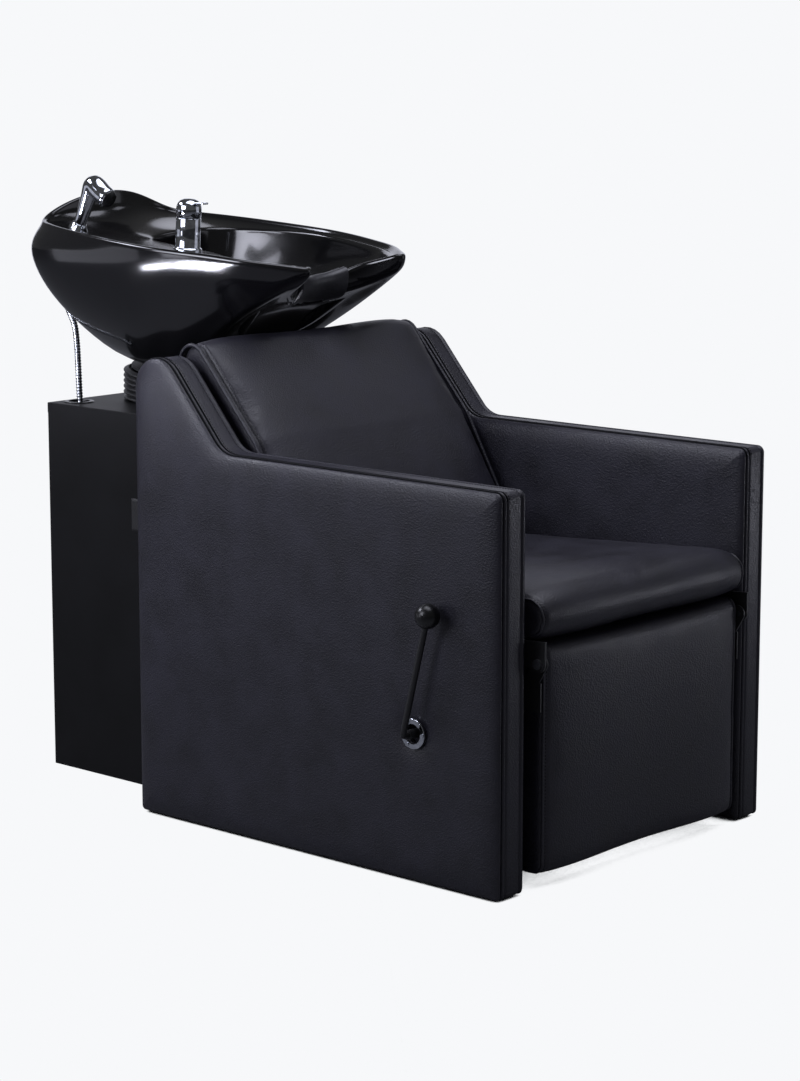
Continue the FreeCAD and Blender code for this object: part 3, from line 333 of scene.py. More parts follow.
def blackGlaze():
    # glazed fireclay: a thick black glass skin, mirror-smooth with a faint orange peel
    material, tree, shader, where = startMaterial("blackGlaze", Roughness=0.14, IOR=1.52, Coat_Weight=0.22,
                                                  Coat_Roughness=0.04)
    peel = addNode(tree, "TexNoise", Vector=where, Scale=1 / 35e-3, Detail=1.5)
    speck = addNode(tree, "TexNoise", Vector=where, Scale=1 / 4e-3)
    tone = addNode(tree, "ValToRGB", {"stops": [(0.3, "#050506"), (0.75, "#0b0b0d")]}, Fac=speck)
    bump = addNode(tree, "Bump", Strength=0.05, Distance=1.5 * mm, Height=peel)
    setInputs(tree, shader, {"Base Color": tone, "Normal": bump})
    return material


def polishedChrome():
    # bright chrome on brass: a mirror with a cool tint and faint polishing haze
    material, tree, shader, where = startMaterial("polishedChrome", Metallic=1.0)
    haze = addNode(tree, "TexNoise", Vector=where, Scale=1 / 6e-3, Detail=3.0)
    tone = addNode(tree, "ValToRGB", {"stops": [(0.35, "#adb0b6"), (0.65, "#c6c9cf")]}, Fac=haze)
    gloss = addNode(tree, "MapRange", Value=haze, To_Min=0.04, To_Max=0.1)
    setInputs(tree, shader, {"Base Color": tone, "Roughness": gloss})
    return material


def blackLacquer():
    # sprayed satin lacquer on board: an even black film with a faint spray texture
    material, tree, shader, where = startMaterial("blackLacquer", IOR=1.28)
    spray = addNode(tree, "TexNoise", Vector=where, Scale=1 / 2.5e-3, Detail=2.0)
    cloud = addNode(tree, "TexNoise", Vector=where, Scale=1 / 90e-3, Detail=3.0)
    tone = addNode(tree, "ValToRGB", {"stops": [(0.3, "#09090a"), (0.7, "#0f0f11")]}, Fac=cloud)
    gloss = addNode(tree, "MapRange", Value=cloud, To_Min=0.46, To_Max=0.56)
    bump = addNode(tree, "Bump", Strength=0.06, Distance=0.2 * mm, Height=spray)
    setInputs(tree, shader, {"Base Color": tone, "Roughness": gloss, "Normal": bump})
    return material


def grained(name, dark, light, roughness, grainSize, strength, metallic=0.0):
    # a plain moulded, coated or cast surface with a grain of a real size
    material, tree, shader, where = startMaterial(name, Metallic=metallic, Roughness=roughness)
    grain = addNode(tree, "TexNoise", Vector=where, Scale=1 / grainSize, Detail=3.0)
    tone = addNode(tree, "ValToRGB", {"stops": [(0.3, dark), (0.7, light)]}, Fac=grain)
    bump = addNode(tree, "Bump", Strength=strength, Distance=0.3 * mm, Height=grain)
    setInputs(tree, shader, {"Base Color": tone, "Normal": bump})
    return material


def birchPly():
    # birch plywood stained black where it may show, with long grain
    material, tree, shader, where = startMaterial("birchPly", Roughness=0.7)
    stretched = addNode(tree, "Mapping", Vector=where, Scale=(12.0, 90.0, 90.0))
    grain = addNode(tree, "TexNoise", Vector=stretched, Scale=2.0, Detail=6.0)
    tone = addNode(tree, "ValToRGB", {"stops": [(0.35, "#15110e"), (0.65, "#211b16")]}, Fac=grain)
    setInputs(tree, shader, {"Base Color": tone})
    return material


def steelBraid():
    # woven stainless braid over a rubber hose, drawn at 3 mm
    material, tree, shader, where = startMaterial("steelBraid", Metallic=1.0, Roughness=0.35)
    weave = addNode(tree, "TexChecker", Vector=where, Scale=1 / 3e-3).outputs["Fac"]
    tone = addNode(tree, "ValToRGB", {"stops": [(0.0, "#7f8286"), (1.0, "#b9bcc0")]}, Fac=weave)
    bump = addNode(tree, "Bump", Strength=0.4, Distance=0.4 * mm, Height=weave)
    setInputs(tree, shader, {"Base Color": tone, "Normal": bump})
    return material


hide = leatherette()
thread = sewingThread()
glaze = blackGlaze()
chrome = polishedChrome()
lacquer = blackLacquer()
powderCoat = grained("powderCoat", "#141416", "#1d1d1f", 0.5, 1.2e-3, 0.15)  # baked powder, fine peel
softRubber = grained("epdmRubber", "#131314", "#1c1c1d", 0.55, 2e-3, 0.1)  # moulded EPDM, dull
neckGel = grained("siliconeGel", "#232326", "#2e2e32", 0.38, 6e-3, 0.05)  # cast silicone, soft sheen
moulded = grained("acetalPlastic", "#070709", "#0d0d0f", 0.3, 1.5e-3, 0.05)  # turned acetal, satin
bareBrass = grained("bareBrass", "#b08d4c", "#c9a660", 0.3, 3e-3, 0.1, 1.0)  # machined brass, dulled
zincSteel = grained("zincSteel", "#9fa2a6", "#c3c6ca", 0.3, 1e-3, 0.1, 1.0)  # bright zinc plate
greyPvc = grained("greyPvc", "#a3a6a9", "#b4b7ba", 0.45, 4e-3, 0.05)  # extruded PVC pipe
tagCloth = grained("wovenTape", "#0a0a0c", "#161618", 0.7, 0.9e-3, 0.5)  # woven polyester tape
ply = birchPly()
braid = steelBraid()

nodeFinish = {
    lacquer: ["cabinet_front_board", "cabinet_rear_panel", "cabinet_sides", "cabinet_top"],
    hide: ["chair_rear_panel"],
    powderCoat: ["hinge_hangers", "footrest_brackets", "crank_arms", "push_rods", "lever_shaft", "base_frame",
                 "tilt_bracket_base", "tilt_bracket_top", "cabinet_screws", "lever_rod"],
    chrome: ["lever_escutcheon", "escutcheon_screws", "mixer_body", "mixer_cap", "mixer_base_ring",
             "mixer_handle", "shower_handset", "shower_socket", "hose_upper", "waste_fitting",
             "hair_strainer"],
    zincSteel: ["hinge_bolts", "tilt_pins"],
    moulded: ["lever_knob", "shaft_bushes", "floor_glides", "spray_face", "hose_guide", "mixer_index"],
    softRubber: ["bellows"],
    bareBrass: ["supply_valves", "mixer_nut", "hose_union"],
    greyPvc: ["waste_pipe", "waste_hose"],
    neckGel: ["neck_rest"],
    braid: ["supply_hoses", "mixer_tails"],
    ply: ["seat_board", "seat_rails", "back_board", "footrest_board"],
}
for material, names in nodeFinish.items():
    for name in names:
        nodes[name].data.materials.clear()
        nodes[name].data.materials.append(material)
print("materials made")


# The bowl's own frame: X across, V along its length, W up from its foot, leaning with the rim

bowlFrame = {"lean": math.radians(4.3), "footRise": 22 * mm}
tilt = next(j for j in frame["joints"] if j["name"] == "bowl_tilt")
bowlMatrix = (Matrix.Translation(tilt["pos_m"]) @ Matrix.Rotation(bowlFrame["lean"], 4, "X")
              @ Matrix.Translation((0, 0, bowlFrame["footRise"])))


def inBowl(x, v, w):
    return bowlMatrix @ Vector((x, v, w))


# Shower hose: from the guide tube under the bowl, down into the cabinet's hole

hoseFacts = {
    "radius": 5.8 * mm,
    "pitch": 5.2 * mm,  # one turn of the metal spiral
    "groove": 1.2 * mm,
    "grooveShares": (0, 0.05, 0.5, 1, 0.9, 0.3),
    "route": [(-0.150, 0.5758, 0.859), (-0.150, 0.582, 0.843), (-0.150, 0.578, 0.821), (-0.150, 0.566, 0.801),
              (-0.151, 0.552, 0.782), (-0.156, 0.542, 0.753), (-0.163, 0.532, 0.716), (-0.169, 0.524, 0.682),
              (-0.172, 0.519, 0.649), (-0.172, 0.513, 0.613), (-0.168, 0.499, 0.577), (-0.161, 0.475, 0.546)],
}


def showerHose():
    f = hoseFacts
    depths = f["grooveShares"]
    line = smoothLine([Vector(p) for p in f["route"]], f["pitch"] / len(depths))
    radii = [f["radius"] - f["groove"] * depths[i % len(depths)] for i in range(len(line))]
    piece = toPiece(tube(line, radii), "shower_hose_spiral", chrome)
    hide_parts("shower_hose")
    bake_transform(piece)


showerHose()


# Bowl: rings from the foot up the outside, over the rim and down the basin to the drain

bowlFacts = {
    "steps": 6,
    "depth": 240,
    "deck": 232,
    "dip": 45, "dipRadius": 139, "dipFrom": -184,  # neck recess
    "crest": 45, "crestHalf": 175, "crestFrom": 150,
    "lugDrop": 9, "lugFrom": -210, "lugTip": -370,  # the near lug droops to its tip
    "drain": (30, -15),
    # half outlines from front centre by the lug and the rear corner to rear centre: (x, v, w)
    "outer": [
        [(0, -119, 0), (50, -108, 0), (88, -80, 0), (105, -56, 0),
         (115, -31, 0), (118, 15, 0), (75, 93, 0), (0, 119, 0)],
        [(0, -138, 45), (60, -134, 45), (110, -126, 45), (132, -104, 45),
         (151, -70, 45), (172, -3, 45), (128, 138, 45), (0, 172, 45)],
        [(0, -168, 96), (78, -174, 96), (142, -194, 99), (162, -172, 99),
         (184, -125, 99), (207, -20, 99), (160, 201, 99), (0, 214, 99)],
        [(0, -205, 132), (74, -222, 136), (138, -268, 150), (162, -245, 150),
         (195, -182, 150), (227, -36, 150), (181, 233, 150), (0, 240, 150)],
        [(0, -240, 146), (72, -268, 158), (122, -338, 197), (158, -312, 195),
         (203, -228, 195), (240, -48, 195), (190, 243, 190), (0, 251, 190)],
        [(0, -270, 152), (76, -310, 176), (114, -366, 212), (153, -328, 218),
         (203, -241, 218), (242, -50, 218), (184, 236, 216), (0, 247, 216)],
    ],
    "rim": [(0, -285), (72, -305), (110, -370), (150, -336), (202, -250), (242, -52), (176, 228), (0, 242)],
    # rim section: inset from the outline, drop below the top
    "rimSection": [(0, 9), (0.6, 3.5), (2.5, 0.8), (6, 0), (9.5, 0.8), (11.5, 3)],
    "deckInset": 14,
    "deckSlope": 0.1, "deckFlat": 25,  # fall of the deck towards the basin, and where it starts
    "lipShare": 0.7,  # how much of the deck's drop is left where the rim is low
    "mouth": [(0, -258), (62, -276), (100, -335), (138, -313), (184, -232), (220, -60), (172, 112), (60, 129),
              (-28, 98), (-40, -58), (-104, -178), (-150, -289), (-106, -324), (-62, -276)],
    "mouthSection": [(-5, 0), (-1.5, 0.8), (1, 3.5), (2, 9)],
    # basin levels: height, shares of the mouth's width, front reach and rear reach
    "basin": [(192, 0.97, 0.94, 0.97), (149, 0.90, 0.74, 0.93), (98, 0.74, 0.56, 0.82), (66, 0.5, 0.4, 0.52),
              (60, 0.3, 0.26, 0.33)],
    "basinStep": 18,  # least fall from the mouth to a level, times its width share
    "drainSteps": [(59, 30), (57, 24), (55, 18), (0, 18)],  # height, radius
}


def wholeLoop(half):
    points = [Vector(p) for p in half]
    mirror = [Vector((-p.x, *p[1:])) for p in reversed(points[1:-1])]
    return roundLoop(points + mirror, bowlFacts["steps"])


def insetLoop(loop, inset):
    # moves a level loop towards its inside
    moved = []
    for i, here in enumerate(loop):
        run = loop[(i + 1) % len(loop)] - loop[i - 1]
        moved.append(here + Vector((-run.y, run.x)).normalized().to_3d() * inset)
    return moved


def bowlTop(x, v):
    # height of the rim: dipped at the neck and raised at the rear
    f = bowlFacts
    height = f["depth"]
    if v < f["dipFrom"] and abs(x) < f["dipRadius"]:
        r = f["dipRadius"]
        height = min(height, height - f["dip"] + r - math.sqrt(r * r - x * x))
    if x < 0 and v < f["lugFrom"]:
        way = (v - f["lugFrom"]) / (f["lugTip"] - f["lugFrom"])
        height -= f["lugDrop"] * min(way, 1) ** 1.5
    if v > f["crestFrom"] and abs(x) < f["crestHalf"]:
        height += f["crest"] * (1 - (x / f["crestHalf"]) ** 2) ** 1.5
    return height


def bowlRings():
    f = bowlFacts
    rings = [wholeLoop(half) for half in f["outer"]]
    rim = wholeLoop([(x, v, 0) for x, v in f["rim"]])
    tops = [bowlTop(r.x, r.y) for r in rim]
    for inset, drop in f["rimSection"]:  # over the rim
        rings.append([Vector((p.x, p.y, top - drop)) for p, top in zip(insetLoop(rim, inset), tops)])
    deck = f["deck"]
    lipDrop = (f["depth"] - deck) * f["lipShare"]
    inner = insetLoop(rim, f["deckInset"])
    rings.append([Vector((p.x, p.y, min(deck, top - lipDrop))) for p, top in zip(inner, tops)])
    mouth = roundLoop([Vector((x, v, 0)) for x, v in f["mouth"]], f["steps"])
    falls = [f["deckSlope"] * max((r - m).length - f["deckFlat"], 0) for r, m in zip(rim, mouth)]
    lips = []
    for inset, drop in f["mouthSection"]:  # over the mouth's edge
        lips.append([Vector((p.x, p.y, min(deck - fall, bowlTop(m.x, m.y) - lipDrop) - drop))
                     for p, m, fall in zip(insetLoop(mouth, inset), mouth, falls)])
    rings += lips
    centre = Vector(f["drain"]).to_3d()
    for height, width, front, rear in f["basin"]:  # down the basin
        ring = []
        for p, above in zip(mouth, lips[-1]):
            reach = p - centre
            along = reach.y * (front if reach.y < 0 else rear)
            level = min(height, above.z - f["basinStep"] * width)
            ring.append(centre + Vector((reach.x * width, along, level)))
        rings.append(ring)
    for height, radius in f["drainSteps"]:  # into the drain
        rings.append([centre + (p - centre).normalized() * radius + up * height for p in mouth])
    return [[inBowl(*(p * mm)) for p in ring] for ring in rings]


def washBowl():
    piece = toPiece(ringSkin(bowlRings(), closed=True)[0], "wash_bowl", glaze)
    addModifier(piece, "SUBSURF", levels=2, render_levels=2)
    return settle(bake(piece), "bowl", "glazed_ceramic", "bowl")


bowlPiece = washBowl()
print("bowl:", len(bowlPiece.data.polygons), "faces")


# Neck rest: a soft saddle laid over the bowl's lip

neckFacts = {
    "halfWidth": 57 * mm, "margin": 12 * mm, "reach": (-0.31, -0.236), "low": 158 * mm,
    "thick": 6 * mm, "edge": 2.2 * mm, "sharp": 0.7,
}


def neckRest():
    f = neckFacts
    front, rear = f["reach"]
    bm = bmesh.new()
    bm.from_mesh(bowlPiece.data)
    inverse = bowlMatrix.inverted()
    away = []
    for face in bm.faces:
        x, v, w = inverse @ face.calc_center_median()
        if abs(x) > f["halfWidth"] + f["margin"] or not front < v < rear or w < f["low"]:
            away.append(face)
    bmesh.ops.delete(bm, geom=away, context="FACES")
    for side in (-1, 1):
        bmesh.ops.bisect_plane(bm, geom=bm.verts[:] + bm.edges[:] + bm.faces[:], dist=1e-6, clear_outer=True,
                               plane_co=(side * f["halfWidth"], 0, 0), plane_no=(side, 0, 0))
    bmesh.ops.solidify(bm, geom=bm.faces[:], thickness=-f["thick"])
    bmesh.ops.recalc_face_normals(bm, faces=bm.faces)
    sharp = [e for e in bm.edges if e.is_manifold and e.calc_face_angle() > f["sharp"]]
    roundEdges(bm, sharp, f["edge"], 3, clamp=True)
    piece = addPiece(bm, "neck_saddle", neckGel, "bowl", "neck_gel", "neck_rest")


neckRest()
print("neck rest made")


# Bellows between the cabinet and the bowl's foot

bellowsFacts = {
    "ribs": 6, "radius": 130 * mm, "fold": 9 * mm, "wall": 2.5 * mm, "low": 650 * mm, "drop": 16 * mm,
    "stepsPerRib": 8, "sides": 72,
}


def footBellows():
    f = bellowsFacts
    low = Vector((0, tilt["pos_m"][1], f["low"]))
    turn = Matrix.Rotation(bowlFrame["lean"], 3, "X")
    high = Vector(tilt["pos_m"]) + turn @ Vector((0, 0, f["drop"]))
    count = f["ribs"] * f["stepsPerRib"]
    rings = []
    for i in range(count + 1):
        way = i / count
        centre = low.lerp(high, way)
        lean = Matrix.Rotation(bowlFrame["lean"] * way, 3, "X")
        radius = f["radius"] - f["fold"] * (0.5 + 0.5 * math.cos(math.tau * f["ribs"] * way)) ** 1.5
        rings.append([centre + lean @ Vector((c, s, 0)) * radius for c, s in circle(f["sides"])])
    bm = ringSkin(rings)[0]
    bmesh.ops.solidify(bm, geom=bm.faces[:], thickness=f["wall"])
    piece = toPiece(bm, "foot_bellows", softRubber)
    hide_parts("bellows")
    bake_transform(piece)


footBellows()
print("bellows made")


# Mixer tap and hand shower on the bowl's deck

mixerFacts = {
    "place": (-160, -128, 232),
    "body": [(0, -8), (24, -8), (24.6, -6.5), (24.6, 2), (23.6, 3.6), (22, 4.6), (21.4, 6), (21, 30),
             (21, 53.4), (20.4, 54.6), (0, 54.6)],
    "cap": [(0, 55.2), (20.4, 55.2), (21.4, 56), (21.6, 68), (21, 74), (19.2, 79), (15.6, 83), (9.6, 85.6),
            (0, 86.6)],
    "handle": {"reach": 42, "root": 4, "width": 14, "thick": 3.4, "height": 79, "rise": math.radians(5),
               "corner": 5.88, "edge": 1.1},
    "sides": 64,
}


def deckPlace(x, v, w, direction):
    return bowlMatrix @ aimed(Vector((x, v, w)) * mm, Vector(direction))


def mixerTap():
    f = mixerFacts
    place = bowlMatrix @ Matrix.Translation(Vector(f["place"]) * mm)
    body = lathe(f["body"], place, f["sides"])
    addPiece(body, "tap_body", chrome, "bowl", "chrome", "mixer_body", "mixer_base_ring")
    cap = lathe(f["cap"], place, f["sides"])
    addPiece(cap, "tap_cap", chrome, "mixer_cap", "chrome", "mixer_cap")
    # the handle is shaped in mm, then scaled and placed
    h = f["handle"]
    bm = bmesh.new()
    length = h["reach"] + h["root"]
    bmesh.ops.create_cube(bm, size=1, matrix=Matrix.Diagonal((h["width"], length, h["thick"], 1)))
    bmesh.ops.translate(bm, vec=(0, -length / 2 + h["root"], 0), verts=bm.verts)
    bmesh.ops.rotate(bm, cent=(0, 0, 0), matrix=Matrix.Rotation(-h["rise"], 3, "X"), verts=bm.verts)
    bmesh.ops.translate(bm, vec=(0, 0, h["height"]), verts=bm.verts)
    upright = []
    for edge in bm.edges:
        run = edge.verts[0].co - edge.verts[1].co
        if abs(run.z) > h["thick"] * 0.9 and abs(run.y) < h["thick"]:
            upright.append(edge)
    roundEdges(bm, upright, h["corner"], 6)
    roundEdges(bm, [e for e in bm.edges if e.calc_face_angle() > 1], h["edge"], 3)
    bmesh.ops.scale(bm, vec=(mm, mm, mm), verts=bm.verts)
    bmesh.ops.transform(bm, matrix=place, verts=bm.verts)
    addPiece(bm, "tap_lever", chrome, "mixer_handle", "chrome", "mixer_handle")


showerFacts = {
    "foot": (-150, 157, 232), "lean": math.radians(23), "rise": 4.4, "headAngle": math.radians(112),
    # middle line: up the stem, out along the head
    "route": [(0, 0), (32, 0), (64, 0), (86, 0), (83, 16), (80, 32), (80, 46)],
    "radii": [(0, 9.6), (0.04, 10.6), (0.3, 12.6), (0.5, 15), (0.62, 17.2), (0.75, 18.2), (0.95, 17.8),
              (1, 16.6)],
    "socket": [(9.9, -6), (17.5, -6), (17.5, -1), (16.6, 2), (13.6, 6.5), (12.2, 11), (11, 12.2),
               (9.9, 12.2), (9.9, -6)],
    "face": [(0, -1), (14.8, -1), (15, 1.4), (14, 2.6), (0, 3)],
    "nozzleRings": [(0, 1), (4.4, 6), (8.8, 12)],
    "nozzle": 0.9, "nozzleHeight": 2.9,
    "spacing": 3, "sides": 40,
}


def readShares(shares, way):
    # reads a table of (way, value) pairs at a way
    for (a, va), (b, vb) in zip(shares, shares[1:]):
        if way <= b:
            return va + (vb - va) * (way - a) / (b - a)
    return shares[-1][1]


def handShower():
    f = showerFacts
    axis, nose = (Vector((0, -math.sin(a), math.cos(a))) for a in (f["lean"], f["headAngle"]))
    foot = Vector(f["foot"])
    route = [foot + axis * (f["rise"] + rise) + nose * out for rise, out in f["route"]]
    line = smoothLine([inBowl(*(p * mm)) for p in route], f["spacing"] * mm)
    radii = [readShares(f["radii"], i / (len(line) - 1)) * mm for i in range(len(line))]
    body = tube(line, radii, f["sides"])
    addPiece(body, "shower_body", chrome, "hand_shower", "chrome", "shower_handset")
    place = deckPlace(*route[-1], nose)
    bm = lathe(f["face"], place)
    for ring, count in f["nozzleRings"]:
        for c, s in circle(count):
            spot = Vector((ring * c, ring * s, f["nozzleHeight"])) * mm
            bmesh.ops.create_icosphere(bm, subdivisions=1, radius=f["nozzle"] * mm,
                                       matrix=place @ Matrix.Translation(spot))
    addPiece(bm, "shower_rose", moulded, "hand_shower", "black_plastic", "spray_face")
    socket = lathe(f["socket"], deckPlace(*foot, axis))
    addPiece(socket, "shower_cradle", chrome, "bowl", "chrome", "shower_socket")


mixerTap()
handShower()
print("mixer and hand shower made")


# Lever: a bent rod out of the side panel, with a ball knob

leverPlace = (-416 * mm, 238 * mm)
leverFacts = {
    "plane": -365 * mm, "radius": 5 * mm, "angle": math.radians(14.5), "reach": 200 * mm,
    # middle line in mm: in from the rod's plane, up the rod
    "route": [(29, 0), (12, 0), (1.5, 0), (0, 9), (0, 40), (0, 188)],
    "spacing": 2 * mm, "sides": 20,
    "knob": 19.5, "knobNeck": [(0, -19.5), (5.6, -19.2), (6.6, -18.4)],
    "ballAngles": range(24, 180, 6),  # degrees from the neck's side of the ball
}


def footLever():
    f = leverFacts
    climb = Vector((0, -math.sin(f["angle"]), math.cos(f["angle"])))
    corner = Vector((f["plane"], *leverPlace))
    route = [corner + Vector((x * mm, 0, 0)) + climb * rise * mm for x, rise in f["route"]]
    line = smoothLine(route, f["spacing"])
    rod = tube(line, [f["radius"]] * len(line), f["sides"])
    addPiece(rod, "bent_rod", powderCoat, "lever", "black_steel", "lever_rod")
    turns = [math.radians(a) for a in f["ballAngles"]]
    ball = [(f["knob"] * math.sin(t), -f["knob"] * math.cos(t)) for t in turns]
    knob = lathe(f["knobNeck"] + ball + [(0, f["knob"])], aimed(corner + climb * f["reach"], climb))
    addPiece(knob, "ball_knob", moulded, "lever", "black_plastic", "lever_knob")


footLever()
print("lever made")


# Trim round the hose: a grommet in the cabinet's top

trimFacts = {
    "hole": (-174 * mm, 519 * mm, 650 * mm),
    "grommet": [(18.5, -4), (18.5, 0.6), (19.5, 1.8), (25, 1.8), (26.5, 0.8), (26.5, 0.05), (22.3, 0.05),
                (22.3, -4), (18.5, -4)],
}


def hoseTrim():
    bm = lathe(trimFacts["grommet"], Matrix.Translation(trimFacts["hole"]))
    addPiece(bm, "hole_grommet", moulded, "base", "black_plastic")


hoseTrim()
print("hose trim made")


# Plain folded tab sewn into the rear seam

# the tab reaches further back than its solid, as the panel's skin does
tabFacts = {
    "further": 7 * mm, "root": 3 * mm, "thick": 1.1 * mm, "gap": 1.4 * mm,
    "foldStart": 2 * mm, "foldTip": 1 * mm, "spacing": 1.5 * mm, "rows": 10,
}


def seamTab():
    f = tabFacts
    low, high = (Vector(corner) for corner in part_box("seam_tag"))
    middle = (low.x + high.x) / 2
    end = high.y + f["further"]
    half = [(-f["gap"], low.y - f["root"]), (-f["gap"], end - f["foldStart"])]
    fold = half + [(0, end + f["foldTip"])] + [(-x, y) for x, y in reversed(half)]
    line = [Vector((middle + x, y, 0)) for x, y in fold]
    bm = bmesh.new()
    verts = [bm.verts.new(p + up * low.z) for p in smoothLine(line, f["spacing"])]
    edges = [bm.edges.new(pair) for pair in zip(verts, verts[1:])]
    grown = bmesh.ops.extrude_edge_only(bm, edges=edges)["geom"]
    top = [item for item in grown if isinstance(item, bmesh.types.BMVert)]
    bmesh.ops.translate(bm, vec=(0, 0, high.z - low.z), verts=top)
    upright = [e for e in bm.edges if abs(e.verts[0].co.z - e.verts[1].co.z) > 1 * mm]
    bmesh.ops.subdivide_edges(bm, edges=upright, cuts=f["rows"], use_grid_fill=True)
    bmesh.ops.solidify(bm, geom=bm.faces[:], thickness=f["thick"])
    addPiece(bm, "folded_tab", tagCloth, "base", "tag_cloth", "seam_tag")


seamTab()
print("tab sewn in")


# Upholstery tools

stitchFacts = {"pitch": 5.4 * mm, "length": 3.7 * mm, "radius": 0.62 * mm}


def stitchRow(line):
    # a mesh of short capsules of thread, arrayed along a line
    f = stitchFacts
    length = lineLength(line)
    count = round(length / f["pitch"])
    pitch = length / count
    seam = bpy.data.objects.new("seam", splineCurve(line, "POLY")[0])
    scene.collection.objects.link(seam)
    bm = bmesh.new()
    shape = Matrix.Diagonal((f["length"] / 2, f["radius"], f["radius"], 1))
    bmesh.ops.create_icosphere(bm, subdivisions=1, radius=1,
                               matrix=Matrix.Translation((pitch / 2, 0, 0)) @ shape)
    row = toPiece(bm, "row", thread)
    addModifier(row, "ARRAY", count=count, use_relative_offset=False, use_constant_offset=True,
                constant_offset_displace=(pitch, 0, 0))
    addModifier(row, "CURVE", object=seam, deform_axis="POS_X")
    bpy.context.view_layer.update()
    mesh = bake(row).data
    for spare in (row, seam):
        bpy.data.objects.remove(spare)
    return mesh


def projected(piece, line):
    # the line's points moved to the nearest place on a piece's skin
    mesh = piece.data
    tree = BVHTree.FromPolygons([v.co for v in mesh.vertices], [p.vertices for p in mesh.polygons])
    return [tree.find_nearest(here)[0] for here in line]


def groove(piece, lines, depth, width, spacing=1.5 * mm):
    # presses a soft channel into a skin along lines that lie on it
    points = [p for line in lines for p in evenPoints(line, spacing)]
    near = KDTree(len(points))
    for i, here in enumerate(points):
        near.insert(here, i)
    near.balance()
    bm = bmesh.new()
    bm.from_mesh(piece.data)
    for vert in bm.verts:
        far = near.find(vert.co)[2] / width
        if far < 1:
            vert.co = vert.co - vert.normal * depth * (1 - far * far) ** 2
    bm.to_mesh(piece.data)
    bm.free()


def sewn(name, lines, body):
    bm = bmesh.new()
    for line in lines:
        bm.from_mesh(stitchRow(line))
    return addPiece(bm, name, thread, body, "leatherette")


def welt(name, lines, radius, body, material, sides=8):
    bm = bmesh.new()
    for line in lines:
        tube(line, [radius] * len(line), sides, bm)
    return addPiece(bm, name, material, body, "leatherette")


# Side panels: a padded face with a rolled edge and a welt, a band, and a thin plain face
# the padded face looks towards the lever's side on both panels, as in the photograph

armFacts = {
    "front": -582 * mm, "rear": 202 * mm, "foot": 4 * mm, "top": 625 * mm, "wing": 768 * mm,
    "wingRadius": 50 * mm, "wingAngle": math.radians(48.8), "kneeRadius": 55 * mm,
    "frontRadius": 12 * mm, "footRadius": 8 * mm, "leastRadius": 1 * mm, "leastWing": 2 * mm,
    "cornerSteps": 10,
    # sections: inset from the outline, distance from the chair's middle plane
    "padded": [(9, 329.6), (4, 328.6), (1.8, 328.6), (0.4, 329.4), (0, 330.6), (0.4, 331.9), (1.8, 333.4),
               (4.2, 335), (7.6, 336.6), (12.5, 338.2), (19, 339.5), (28, 340.5), (42, 341), (60, 341.2)],
    "band": [(9, 325.8), (4.6, 326), (1.6, 325.6), (0.3, 324.8), (-0.7, 323.4), (-0.7, 321.6), (0.3, 320.3),
             (3, 319.3), (3, 317.6), (0.9, 316.2), (0.3, 313), (0.2, 308), (0.2, 296), (0.3, 289),
             (0.7, 286.4), (2.6, 285), (2.6, 283.6), (0.3, 282.4), (-0.2, 280.6), (0, 278.8), (0.8, 277.4),
             (3, 276.6), (9, 276.6)],
    "plain": [(9, 275.9), (4.5, 275.6), (3.4, 274.6), (3.8, 273), (5, 271.6), (7.5, 270.6), (13, 270.1),
              (30, 270)],
    "bothFaces": 611.2,  # the two faces' distances added, to turn the far panel's sections round
    "stitches": [(0.2, 313.4), (0.3, 288.6)],
    # black cords of thread along the two seams beside the welt: painted shade, standing for the dark creases
    # of the seams
    "seamShadeCords": [(-0.5, 327.4), (-0.1, 318.3)], "seamShadeRadius": 1.3 * mm,
    "seamFoot": 16 * mm,  # seams and stitches end at this height
    # the skin round the lever's ring: radius, distance from the middle plane
    "dimple": [(17, 328.2), (17, 335.6), (18.5, 336.4), (22, 336.7), (26, 337.2), (30, 338), (36, 339.2),
               (44, 340.2), (58, 341), (80, 341.2)],
    "dimpleSides": 48,
}


def roundCorners(corners, radii, steps):
    # a closed outline with rounded corners, the same number of points for each corner
    loop = []
    count = len(corners)
    for i, (corner, radius) in enumerate(zip(corners, radii)):
        before = (corners[i - 1] - corner).normalized()
        after = (corners[(i + 1) % count] - corner).normalized()
        half = before.angle(after) / 2
        middle = (before + after).normalized()
        centre = corner + middle * (radius / math.sin(half))
        if radius == 0:
            loop.append(corner.copy())
            continue
        reach = radius / math.tan(half)
        start = (corner + before * reach - centre).normalized()
        end = (corner + after * reach - centre).normalized()
        loop += [centre + start.slerp(end, k / steps) * radius for k in range(steps + 1)]
    return loop


def panelLoop(inset, x):
    # a side panel's outline in the plane x, drawn in by an inset
    f = armFacts
    turn = f["wingAngle"]
    centre = Vector((f["rear"] - f["wingRadius"], f["wing"] - f["wingRadius"]))
    reach = f["wingRadius"] - inset
    touch = centre + Vector((-math.sin(turn), math.cos(turn))) * reach
    arm = f["top"] - inset
    front = f["front"] + inset
    foot = f["foot"] + inset
    rear = centre.x + reach
    knee = touch.x - (touch.y - arm) / math.tan(turn)
    peak = touch.y + (rear - touch.x) * math.tan(turn)
    corners = [Vector(p) for p in ((front, foot), (front, arm), (knee, arm), (rear, peak), (rear, foot))]
    footRadius, frontRadius = (max(f[corner] - inset, f["leastRadius"])
                               for corner in ("footRadius", "frontRadius"))
    radii = [footRadius, frontRadius, f["kneeRadius"] + inset, max(reach, f["leastWing"]), footRadius]
    return [Vector((x, p.x, p.y)) for p in roundCorners(corners, radii, f["cornerSteps"])]


def panelLine(inset, x, side):
    # the outline at one point of a section
    distance = x if side < 0 else armFacts["bothFaces"] - x
    return panelLoop(inset * mm, side * distance * mm)


